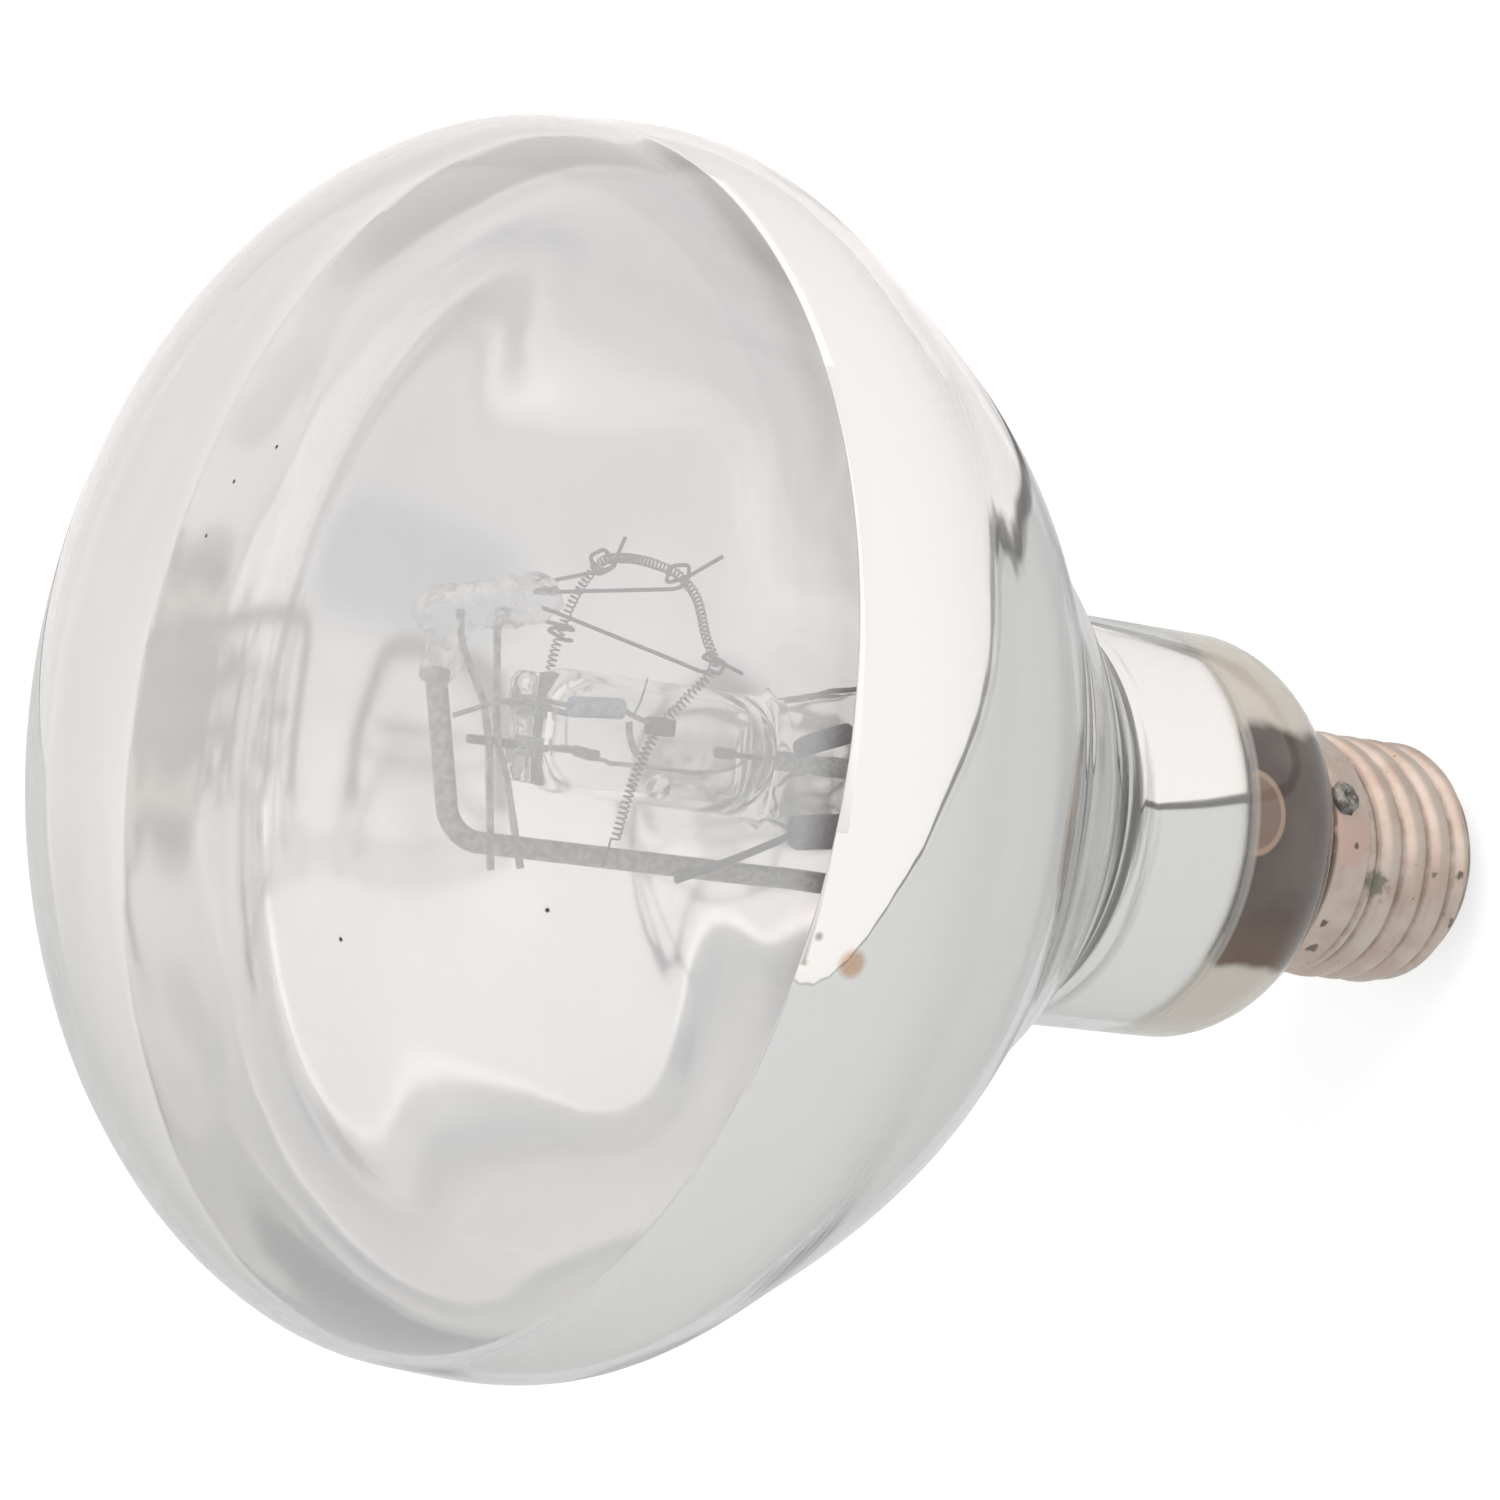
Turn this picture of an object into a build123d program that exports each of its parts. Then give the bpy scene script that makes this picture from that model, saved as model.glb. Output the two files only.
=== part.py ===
"""UVB basking lamp: a reflector bulb with a quartz arc tube and a filament ballast.

Millimetres. The lamp's axis is Z, the screw cap is at the bottom and the glass face
looks up. The origin is on the end face of the centre contact.
"""
from math import atan2, cos, degrees, hypot, radians, sin, tan
import os

from build123d import *

os.makedirs("parts", exist_ok=True)

# Bulb glass
overall_length = 161.0
bulb_wall = 1.2
face_radius = 59.4
face_depth = 34.8
face_squareness = 1.106
belly_radius = 60.0
belly_drop = 10.3
neck_radius = 21.3
neck_top = 61.6
flank_shares = [(0.8553, 0.7624), (0.6512, 0.5249), (0.3695, 0.3112), (0.1860, 0.1455)]
cone_bend = 5.0
throat_top = 33.6
throat_bend = 9.0
flank_stations = 14
spigot_radius = 11.2
spigot_top = 25.4
spigot_bottom = 15.0

# Metal film on the inside of the cone
mirror_gap = 0.1
mirror_film = 0.2
mirror_edge_height = 128.0
mirror_edge_tilt_x = 2.2
mirror_edge_tilt_y = 2.4
mirror_bottom = 44.3

# Screw cap, 27 mm Edison thread
cap_rim = 26.2
collar_radius = 13.3
collar_bottom = 20.8
collar_step = 0.7
cap_sheet = 0.3
thread_pitch = 3.629
thread_turns = 4
thread_crest_radius = 13.2
thread_root_radius = 12.1
thread_bottom = 5.2
ridge_base = 3.0
cap_lip_radius = 9.0
cap_lip_height = 3.6
contact_radius = 4.8
contact_thickness = 1.1
solder_well_radius = 1.5
insulator_wall = 1.0
insulator_top = 5.4
contact_edge = 0.4
side_solder_angle = -66.5
side_solder_radius = 1.8
cement_depth = 3.6
fit_gap = 0.05

# Largest share of a wire's run that one bend may take
run_share = 0.45

# Stem
flare_thickness = 1.2
stem_tube_radius = 6.0
stem_tube_wall = 1.2
flare_top = 26.0
press_bottom = 56.0
press_top = 70.0
press_width = 15.0
press_thickness = 4.4
exhaust_radius = 2.3
exhaust_wall = 0.7
exhaust_bottom = 8.5
exhaust_tip_bend = 2.05
lead_in_radius = 0.25
lead_in_spread = 3.9
lead_in_top = 76.0
lead_in_bend = 0.6
side_wire_loop = 13.4
side_wire_height = 24.2
weld_gap = 0.1
weld_stretch = 5.0

# Frame rod
rod_radius = 1.05
rod_bend = 3.2
rod_corner = (-9.6, -3.1, 129.0)
rod_tip = (6.4, 2.1, 129.0)
rod_foot_height = 46.0
collar_band_height = 48.5
collar_band_width = 5.0
collar_band_sheet = 0.4

# Arc tube
arc_axis = (2.0, -1.0)
arc_radius = 6.1
arc_wall = 1.1
arc_bottom = 94.0
arc_top = 117.0
shoulder_length = 2.2
front_pinch_top = 122.0
front_pinch_width = 10.6
rear_pinch_bottom = 81.2
rear_pinch_width = 15.5
pinch_thickness = 2.6
front_lead_x = 0.1
probe_lead_x = 3.9
lead_radius = 0.45
lead_top = 126.6
electrode_tip = 112.0
probe_tip = 114.6
probe_rise = 1.0
probe_lead_end = -4.6
foil_width = 1.9
foil_length = 3.2
foil_thickness = 0.1
foil_seat = 0.8
tip_off_height = 107.7
tip_off_bearing = -133.5
tip_off_radius = 1.15
tip_off_reach = 1.0
tip_off_taper = 20
rear_lead_bottom = 78.5
rear_lead_end = (3.15, 1.75)
rear_lead_overlap = 2.8
rear_electrode_tip = 98.0
electrode_radius = 0.3
coil_head_radius = 0.55
coil_head_length = 2.2

# Bead, straps and hooks
bead_radius = 2.4
bead_front = (11.2, -0.6, 133.0)
bead_rear = (14.5, -1.4, 118.8)
lug_start = (5.4, 1.9, 129.0)
lug_end = (12.1, -0.8, 129.2)
cane_radius = 1.9
strap_width = 0.7
strap_thickness = 0.3
strap_bend = 6.0
strap_front_route = [
    (12.1, -1.0, 129.2),
    (8.9, -1.3, 128.6),
    (3.8, -1.6, 125.7),
    (-0.1, -1.7, 124.7),
    (-3.8, -1.8, 124.3),
    (-12.0, -1.8, 123.3),
]
strap_rear_route = [
    (11.7, -1.0, 124.6),
    (5.2, -1.3, 124.2),
    (0.0, -1.7, 123.85),
    (-3.1, -1.8, 122.5),
    (-11.5, -1.8, 120.0),
]
wire_radius = 0.2
hook_half = 1.0
hook_bend = 0.5
hook_spacing = 1.15
hook_corners = [(-1, 1, -3), (1, 1, -1.5), (1, -1, 0), (-1, -1, 1.5), (-1, 1, 3), (1.3, 1, 3.2)]

# Filament
filament_radius = 0.5
filament_bend = 1.6
crimp_size = (1.7, 1.7, 2.4)
crimp_bend = 0.34
crimp_corner = 3
filament_route = [
    (-7.9, -5.2, 111.7),
    (-3.9, -6.7, 111.8),
    (0.0, -7.7, 111.2),
    (3.1, -8.2, 109.9),
    (6.4, -9.3, 107.5),
    (9.6, -10.4, 105.6),
    (12.1, -8.4, 105.5),
    (17.0, -4.4, 104.9),
    (18.4, -2.6, 105.2),
    (19.5, 1.0, 105.8),
    (20.2, 7.0, 106.1),
    (20.2, 9.6, 105.9),
    (18.4, 11.5, 106.3),
    (15.3, 14.0, 106.5),
    (13.2, 15.0, 106.5),
    (11.2, 15.2, 106.9),
    (5.0, 14.8, 107.3),
    (-0.3, 13.0, 107.1),
]
tail_route = [(-7.5, -5.35, 111.7), (-9.2, -4.5, 112.0), (-10.5, -4.05, 112.1)]
return_route = [
    (4.1, 1.85, 72.5),
    (4.1, 1.85, 77.0),
    (0.6, 13.0, 85.0),
    (-0.3, 14.0, 90.0),
    (-0.3, 14.0, 108.5),
]
crimp_wire_route = [(7.7, -5.6, 110.0), (5.2, -6.9, 111.5), (3.95, -8.0, 112.9)]
crimp_ribbon_route = [(3.2, -7.8, 113.2), (2.2, -7.65, 113.0), (0.7, -7.7, 112.4), (0.1, -8.0, 112.0)]
hook_places = {
    "lower": ((13.3, -2.5, 120.9), 5, (8.9, -11.8, 103.4)),
    "upper": ((14.6, -1.6, 121.2), 8, (20.8, -3.5, 100.8)),
    "top": ((15.4, -1.1, 121.0), 11, (23.0, 12.0, 101.8)),
    "left": ((12.6, -0.3, 124.6), 14, (12.6, 16.9, 104.2)),
}

# Starting resistor and the parts at the rear
resistor_radius = 1.0
resistor_front = (3.8, -8.4, 120.3)
resistor_rear = (4.25, -8.4, 114.7)
front_wire_route = [
    (2.1, -0.5, 128.2),
    (3.5, -3.3, 125.9),
    (4.25, -5.4, 123.2),
    (4.0, -7.9, 121.6),
    (3.79, -8.4, 120.35),
]
rear_wire_route = [(4.26, -8.4, 114.65), (3.6, -8.5, 112.9), (3.3, -8.4, 111.15)]
sleeve_radius = 1.7
sleeve_front = (-5.2, -6.0, 90.1)
sleeve_rear = (-3.4, -6.0, 80.4)
sleeve_lead_radius = 0.4
sleeve_lead_route = [
    (-11.0, -4.3, 103.6),
    (-10.2, -4.6, 101.7),
    (-8.2, -5.4, 97.1),
    (-6.3, -6.0, 92.8),
    (-5.22, -6.0, 90.15),
]
sleeve_tail_route = [
    (-3.39, -6.0, 80.35),
    (-3.2, -6.0, 77.5),
    (-3.45, -1.95, 74.5),
    (-3.45, -1.95, 72.0),
]
link_wire_radius = 0.25
thin_wire_radius = 0.1
rear_resistor_radius = 1.0
rear_resistor_front = (3.1, -4.6, 89.8)
rear_resistor_rear = (5.4, -4.6, 84.8)
rear_resistor_route = [(5.42, -4.6, 84.75), (6.0, -4.5, 80.5), (5.9, -3.5, 76.3)]
arch_route = [
    (8.5, -2.65, 87.3),
    (9.5, -2.9, 85.5),
    (10.1, -2.9, 82.3),
    (7.6, -2.9, 77.5),
    (5.9, -2.85, 76.0),
    (3.95, 0.62, 74.4),
]

belly_height = overall_length - face_depth - belly_drop
flank_points = [
    (neck_radius + out * (belly_radius - neck_radius), neck_top + up * (belly_height - neck_top))
    for out, up in flank_shares
]
press_angle = degrees(atan2(rod_tip[1] - rod_corner[1], rod_tip[0] - rod_corner[0]))


def face_point(angle):
    """A point of the glass face's outline, from 0 at the apex to 90 at the rim."""
    drop = face_depth * (1 - cos(radians(angle)) ** face_squareness)
    return (face_radius * sin(radians(angle)), overall_length - drop)


def bulb_body(inset, floor):
    """The solid inside the bulb's outline moved inward by an inset, down to a floor."""
    side = [(0, overall_length)]
    side += [face_point(angle) for angle in (20, 40, 55, 68, 80, 90)]
    side += [(belly_radius, belly_height)] + flank_points
    cone_end = flank_points[-1]
    cone_run = (neck_radius - cone_end[0], neck_top - cone_end[1])
    cone_rise = inset * tan(atan2(-cone_run[0], -cone_run[1]) / 2)
    throat_slant = atan2(neck_radius - spigot_radius, throat_top - spigot_top)
    throat_rise = inset * tan(throat_slant / 2)
    with BuildPart() as body:
        with BuildSketch(Plane.XZ):
            with BuildLine():
                flank = Spline(side, tangents=[(1, 0), cone_run], mode=Mode.PRIVATE)
                stations = [step / flank_stations for step in range(flank_stations + 1)]
                moved = [
                    flank @ at + (flank % at).rotate(Axis.Z, -90) * inset for at in stations
                ]
                wall = Spline(moved, tangents=[(1, 0), cone_run])
                neck = FilletPolyline(
                    wall @ 1,
                    (neck_radius - inset, neck_top + cone_rise),
                    (neck_radius - inset, throat_top + throat_rise),
                    (spigot_radius - inset, spigot_top + throat_rise),
                    radius=[cone_bend + inset, throat_bend - inset],
                )
                Polyline(neck @ 1, (spigot_radius - inset, floor), (0, floor), wall @ 0)
            make_face()
        revolve(axis=Axis.Z)
    return body.part


def easy_radii(points, largest):
    """Bend radii as large as the two runs at each corner allow, up to a largest one."""
    spots = [Vector(*point) for point in points]
    radii = []
    for before, corner, after in zip(spots, spots[1:], spots[2:]):
        first = corner - before
        second = after - corner
        turn = radians(first.get_angle(second))
        shorter = min(first.length, second.length)
        radii.append(min(largest, run_share * shorter / tan(turn / 2)))
    return radii


def bend_middle(points, index, largest):
    """The middle of a route's arc at one corner, and the route's direction there."""
    corner = Vector(*points[index])
    arriving = (corner - Vector(*points[index - 1])).normalized()
    leaving = (Vector(*points[index + 1]) - corner).normalized()
    half_turn = radians(arriving.get_angle(leaving)) / 2
    radius = easy_radii(points, largest)[index - 1]
    inward = (leaving - arriving).normalized()
    return corner + inward * (radius / cos(half_turn) - radius), (arriving + leaving).normalized()


def wire(points, radius, bend):
    """A round wire along straight runs joined by tangent arcs."""
    with BuildPart() as strand:
        with BuildLine() as route:
            if len(points) > 2:
                FilletPolyline(*points, radius=easy_radii(points, bend))
            else:
                Line(*points)
        start = Plane(route.line @ 0, z_dir=route.line % 0)
        with BuildSketch(start):
            Circle(radius)
        sweep(path=route.line)
    return strand.part


def rod_between(start, end, radius):
    """A plain round bar from one point to another."""
    return wire([start, end], radius, 0)


def strip(points, width, thickness, bend):
    """A flat strip with its width across Y, along runs joined by tangent arcs."""
    with BuildPart() as band:
        with BuildLine() as route:
            FilletPolyline(*points, radius=easy_radii(points, bend))
        along = route.line % 0
        across = along.cross(Vector(0, 1, 0))
        with BuildSketch(Plane(route.line @ 0, x_dir=across, z_dir=along)):
            Rectangle(width, thickness)
        sweep(path=route.line)
    return band.part


def hook(root, corner, tail):
    """A wire from the bead that turns once round the filament and ends in a free tail."""
    seat, along = bend_middle(filament_route, corner, filament_bend)
    reach = seat - Vector(*root)
    outward = (reach - along * reach.dot(along)).normalized()
    side = along.cross(outward)
    step = wire_radius * hook_spacing
    turn = [
        seat + outward * (hook_half * out) + side * (hook_half * over) + along * (step * rise)
        for out, over, rise in hook_corners
    ]
    points = [Vector(*root)] + turn + [Vector(*tail)]
    return wire([tuple(point) for point in points], wire_radius, hook_bend)


def cap_body(inset):
    """The solid inside the screw shell's outline moved inward by an inset."""
    collar = collar_radius - inset
    root = thread_root_radius - inset
    crest = thread_crest_radius - inset
    half_base = ridge_base / 2 - inset
    with BuildPart() as body:
        with BuildSketch(Plane.XZ):
            with BuildLine():
                upper = Polyline(
                    (0, cap_rim),
                    (collar, cap_rim),
                    (collar, collar_bottom + inset),
                    (root, collar_bottom - collar_step + inset),
                )
                end = upper @ 1
                for turn in range(thread_turns):
                    height = collar_bottom - collar_step - thread_pitch * (turn + 0.5)
                    Line(end, (root, height + half_base))
                    crown = ThreePointArc(
                        (root, height + half_base), (crest, height), (root, height - half_base)
                    )
                    end = crown @ 1
                Polyline(
                    end,
                    (root, thread_bottom + inset),
                    (cap_lip_radius, cap_lip_height + inset),
                    (0, cap_lip_height + inset),
                    upper @ 0,
                )
            make_face()
        revolve(axis=Axis.Z)
    return body.part


def seal_foil(lead_x, near, far):
    """A foil in a pinch, between its two ends along the arc tube."""
    with BuildPart() as foil:
        with Locations((lead_x, arc_axis[1], (near + far) / 2)):
            Box(foil_width, foil_thickness, abs(far - near))
    return foil.part


def electrode_rod(lead_x, root, tip, head):
    """An electrode from its foil to its tip, with a wound head of a length."""
    with BuildPart() as electrode:
        with Locations((lead_x, arc_axis[1], (root + tip) / 2)):
            Cylinder(electrode_radius, abs(root - tip))
        if head:
            with Locations((lead_x, arc_axis[1], tip + head / 2)):
                Cylinder(coil_head_radius, abs(head))
    return electrode.part


# Bulb: blown glass shell, open at the spigot where the stem is sealed in
with BuildPart() as glass_envelope:
    add(bulb_body(0, spigot_bottom))
    add(bulb_body(bulb_wall, spigot_bottom - bulb_wall), mode=Mode.SUBTRACT)
glass_envelope.part.label = "glass_envelope"
export_step(glass_envelope.part, "parts/glass_envelope.step")

# Mirror: a film on the inside of the cone, ended by a slightly tilted edge
film_inset = bulb_wall + mirror_gap
edge_plane = Plane((0, 0, mirror_edge_height)).rotated((mirror_edge_tilt_x, mirror_edge_tilt_y, 0))
with BuildPart() as mirror_coating:
    add(bulb_body(film_inset, spigot_bottom))
    add(bulb_body(film_inset + mirror_film, spigot_bottom - bulb_wall), mode=Mode.SUBTRACT)
    split(bisect_by=edge_plane, keep=Keep.BOTTOM)
    split(bisect_by=Plane.XY.offset(mirror_bottom), keep=Keep.TOP)
mirror_coating.part.label = "mirror_coating"
export_step(mirror_coating.part, "parts/mirror_coating.step")

# Side lead-in: from the collar's solder down, under the bulb's rim and up the stem
rod_reach = hypot(rod_corner[0], rod_corner[1])
press_cos = cos(radians(press_angle))
press_sin = sin(radians(press_angle))
solder_cos = cos(radians(side_solder_angle))
solder_sin = sin(radians(side_solder_angle))
spigot_lane = spigot_radius + fit_gap + lead_in_radius
weld_lane = rod_reach - rod_radius - lead_in_radius - weld_gap
side_lead_route = [
    (collar_radius * solder_cos, collar_radius * solder_sin, side_wire_height),
    (spigot_lane * solder_cos, spigot_lane * solder_sin, side_wire_height),
    (spigot_lane * solder_cos, spigot_lane * solder_sin, side_wire_loop),
    (-lead_in_spread * press_cos, -lead_in_spread * press_sin, side_wire_loop),
    (-lead_in_spread * press_cos, -lead_in_spread * press_sin, press_top + lead_in_spread / 2),
    (-weld_lane * press_cos, -weld_lane * press_sin, lead_in_top),
    (-weld_lane * press_cos, -weld_lane * press_sin, lead_in_top + weld_stretch),
]
with BuildPart() as side_lead_in:
    add(wire(side_lead_route, lead_in_radius, lead_in_bend))
side_lead_in.part.label = "side_lead_in"
export_step(side_lead_in.part, "parts/side_lead_in.step")

# Centre lead-in: from the centre contact up the stem
insulator_bottom = contact_thickness + fit_gap
centre_lead_route = [
    (0, 0, insulator_bottom + fit_gap),
    (0, 0, insulator_top + lead_in_bend),
    (lead_in_spread * press_cos, lead_in_spread * press_sin, insulator_top + 3 * lead_in_bend),
    (lead_in_spread * press_cos, lead_in_spread * press_sin, lead_in_top),
]
with BuildPart() as centre_lead_in:
    add(wire(centre_lead_route, lead_in_radius, lead_in_bend))
centre_lead_in.part.label = "centre_lead_in"
export_step(centre_lead_in.part, "parts/centre_lead_in.step")

# Screw shell: sheet drawn to a collar, with the knuckle thread rolled into it
with BuildPart() as screw_shell:
    add(cap_body(0))
    add(cap_body(cap_sheet), mode=Mode.SUBTRACT)
    with BuildSketch(Plane.XY.offset(cap_lip_height)):
        Circle(cap_lip_radius)
    extrude(amount=2 * cap_sheet, mode=Mode.SUBTRACT)
    add(side_lead_in.part, mode=Mode.SUBTRACT)
screw_shell.part.label = "screw_shell"
export_step(screw_shell.part, "parts/screw_shell.step")

# Cap insulator: pressed black glass in the lip of the shell, with a hole for the wire
with BuildPart() as cap_insulator:
    with BuildSketch(Plane.XZ):
        with BuildLine():
            Polyline(
                (lead_in_radius + fit_gap, insulator_bottom),
                (contact_radius + insulator_wall, insulator_bottom),
                (cap_lip_radius - fit_gap, cap_lip_height - fit_gap),
                (cap_lip_radius - fit_gap, insulator_top),
                (contact_radius, insulator_top),
                (lead_in_radius + fit_gap, insulator_top - insulator_wall),
                close=True,
            )
        make_face()
    revolve(axis=Axis.Z)
cap_insulator.part.label = "cap_insulator"
export_step(cap_insulator.part, "parts/cap_insulator.step")

# Centre contact: brass button with a well for its solder
with BuildPart() as centre_contact:
    with BuildSketch():
        Circle(contact_radius)
        Circle(solder_well_radius, mode=Mode.SUBTRACT)
    extrude(amount=contact_thickness)
    fillet(centre_contact.edges().sort_by(Axis.Z)[:1].filter_by(GeomType.CIRCLE), contact_edge)
centre_contact.part.label = "centre_contact"
export_step(centre_contact.part, "parts/centre_contact.step")

# Solder in the contact's well
with BuildPart() as contact_solder:
    with BuildSketch():
        Circle(solder_well_radius - fit_gap)
    extrude(amount=contact_thickness - fit_gap)
contact_solder.part.label = "contact_solder"
export_step(contact_solder.part, "parts/contact_solder.step")

# Solder of the side wire on the collar
with BuildPart() as side_solder:
    solder_reach = collar_radius + fit_gap
    with Locations((solder_reach * solder_cos, solder_reach * solder_sin, side_wire_height)):
        Sphere(side_solder_radius)
    with BuildSketch():
        Circle(collar_radius + fit_gap)
    extrude(amount=overall_length, mode=Mode.SUBTRACT)
side_solder.part.label = "side_solder"
export_step(side_solder.part, "parts/side_solder.step")

# Capping cement: a ring between the glass spigot and the collar
with BuildPart() as capping_cement:
    with BuildSketch(Plane.XY.offset(collar_bottom + 2 * cap_sheet)):
        Circle(collar_radius - cap_sheet - fit_gap)
        Circle(spigot_radius + fit_gap, mode=Mode.SUBTRACT)
    extrude(amount=cement_depth)
    add(side_lead_in.part, mode=Mode.SUBTRACT)
capping_cement.part.label = "capping_cement"
export_step(capping_cement.part, "parts/capping_cement.step")

# Frame rod: thick nickel wire, short leg across the axis and long leg beside it
rod_foot = (rod_corner[0], rod_corner[1], rod_foot_height)
with BuildPart() as frame_rod:
    add(wire([rod_tip, rod_corner, rod_foot], rod_radius, rod_bend))
frame_rod.part.label = "frame_rod"
export_step(frame_rod.part, "parts/frame_rod.step")

# Stem: flare, tube and press in one, with channels for the wires
press_plane = Plane.XY.rotated((0, 0, press_angle))
with BuildPart() as stem:
    with BuildSketch(Plane.XZ):
        with BuildLine():
            Polyline(
                (stem_tube_radius - stem_tube_wall, spigot_bottom),
                (spigot_radius - bulb_wall - fit_gap, spigot_bottom),
                (spigot_radius - bulb_wall - fit_gap, spigot_bottom + flare_thickness),
                (stem_tube_radius, flare_top),
                (stem_tube_radius, press_bottom),
                (0, press_bottom),
                (0, press_bottom - stem_tube_wall),
                (stem_tube_radius - stem_tube_wall, press_bottom - stem_tube_wall),
                close=True,
            )
        make_face()
    revolve(axis=Axis.Z)
    with BuildSketch(press_plane.offset(press_bottom)):
        Circle(stem_tube_radius)
    with BuildSketch(press_plane.offset((press_bottom + press_top) / 2)):
        SlotOverall(press_width, press_thickness)
    loft()
    with BuildSketch(press_plane.offset((press_bottom + press_top) / 2)):
        SlotOverall(press_width, press_thickness)
    extrude(amount=(press_top - press_bottom) / 2)
    add(side_lead_in.part, mode=Mode.SUBTRACT)
    add(centre_lead_in.part, mode=Mode.SUBTRACT)
    with BuildSketch(Plane.XY.offset(press_bottom - 2 * stem_tube_wall)):
        Circle(exhaust_radius - exhaust_wall)
    extrude(amount=4 * stem_tube_wall, mode=Mode.SUBTRACT)
stem.part.label = "stem"
export_step(stem.part, "parts/stem.step")

# Exhaust tube: sealed at its lower end, fused to the stem's press at the top
with BuildPart() as exhaust_tube:
    with BuildSketch(Plane.XY.offset(exhaust_bottom)):
        Circle(exhaust_radius)
    extrude(amount=press_bottom - stem_tube_wall - fit_gap - exhaust_bottom)
    fillet(exhaust_tube.edges().sort_by(Axis.Z)[0], exhaust_tip_bend)
    with BuildSketch(Plane.XY.offset(exhaust_bottom + exhaust_radius)):
        Circle(exhaust_radius - exhaust_wall)
    extrude(amount=press_bottom, mode=Mode.SUBTRACT)
exhaust_tube.part.label = "exhaust_tube"
export_step(exhaust_tube.part, "parts/exhaust_tube.step")

# Stem collar: band pulled tight round the stem tube and the rod
with BuildPart() as stem_collar:
    with BuildSketch(Plane.XY.offset(collar_band_height)):
        Circle(stem_tube_radius + fit_gap + collar_band_sheet)
        with Locations(rod_corner[:2]):
            Circle(rod_radius + fit_gap + collar_band_sheet)
        make_hull()
        offset(amount=-collar_band_sheet, mode=Mode.SUBTRACT)
    extrude(amount=collar_band_width)
stem_collar.part.label = "stem_collar"
export_step(stem_collar.part, "parts/stem_collar.step")

# Front seal: foil, electrode and lead of the pinch near the face
foil_bottom = front_pinch_top - foil_seat - foil_length
foil_top = front_pinch_top - foil_seat
with BuildPart() as front_seal_foil:
    add(seal_foil(front_lead_x, foil_bottom, foil_top))
front_seal_foil.part.label = "front_seal_foil"
export_step(front_seal_foil.part, "parts/front_seal_foil.step")

with BuildPart() as front_electrode:
    add(electrode_rod(front_lead_x, foil_bottom - fit_gap, electrode_tip, coil_head_length))
front_electrode.part.label = "front_electrode"
export_step(front_electrode.part, "parts/front_electrode.step")

with BuildPart() as front_lead_wire:
    front_root = (front_lead_x, arc_axis[1], foil_top + fit_gap)
    add(rod_between(front_root, (front_lead_x, arc_axis[1], lead_top), lead_radius))
front_lead_wire.part.label = "front_lead_wire"
export_step(front_lead_wire.part, "parts/front_lead_wire.step")

# Probe seal: starting electrode beside the main one, with its wire to the resistor
with BuildPart() as probe_seal_foil:
    add(seal_foil(probe_lead_x, foil_bottom, foil_top))
probe_seal_foil.part.label = "probe_seal_foil"
export_step(probe_seal_foil.part, "parts/probe_seal_foil.step")

with BuildPart() as starting_electrode:
    add(electrode_rod(probe_lead_x, foil_bottom - fit_gap, probe_tip, 0))
starting_electrode.part.label = "starting_electrode"
export_step(starting_electrode.part, "parts/starting_electrode.step")

probe_lead_route = [
    (probe_lead_x, arc_axis[1], foil_top + fit_gap),
    (probe_lead_x, arc_axis[1], front_pinch_top + probe_rise),
    (probe_lead_x, probe_lead_end, front_pinch_top + probe_rise + link_wire_radius),
]
with BuildPart() as probe_lead_wire:
    add(wire(probe_lead_route, link_wire_radius, lead_in_bend))
probe_lead_wire.part.label = "probe_lead_wire"
export_step(probe_lead_wire.part, "parts/probe_lead_wire.step")

# Rear seal: foil, electrode and lead at the cap end of the arc tube
rear_foil_bottom = rear_pinch_bottom + foil_seat
rear_foil_top = arc_bottom - shoulder_length - foil_seat
with BuildPart() as rear_seal_foil:
    add(seal_foil(arc_axis[0], rear_foil_top, rear_foil_bottom))
rear_seal_foil.part.label = "rear_seal_foil"
export_step(rear_seal_foil.part, "parts/rear_seal_foil.step")

with BuildPart() as rear_electrode:
    add(electrode_rod(arc_axis[0], rear_foil_top + fit_gap, rear_electrode_tip, -coil_head_length))
rear_electrode.part.label = "rear_electrode"
export_step(rear_electrode.part, "parts/rear_electrode.step")

rear_lead_route = [
    (arc_axis[0], arc_axis[1], rear_foil_bottom - fit_gap),
    (arc_axis[0], arc_axis[1], rear_lead_bottom),
    (rear_lead_end[0], rear_lead_end[1], lead_in_top),
    (rear_lead_end[0], rear_lead_end[1], lead_in_top - rear_lead_overlap),
]
with BuildPart() as rear_lead_wire:
    add(wire(rear_lead_route, lead_radius, lead_in_bend))
rear_lead_wire.part.label = "rear_lead_wire"
export_step(rear_lead_wire.part, "parts/rear_lead_wire.step")

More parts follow.
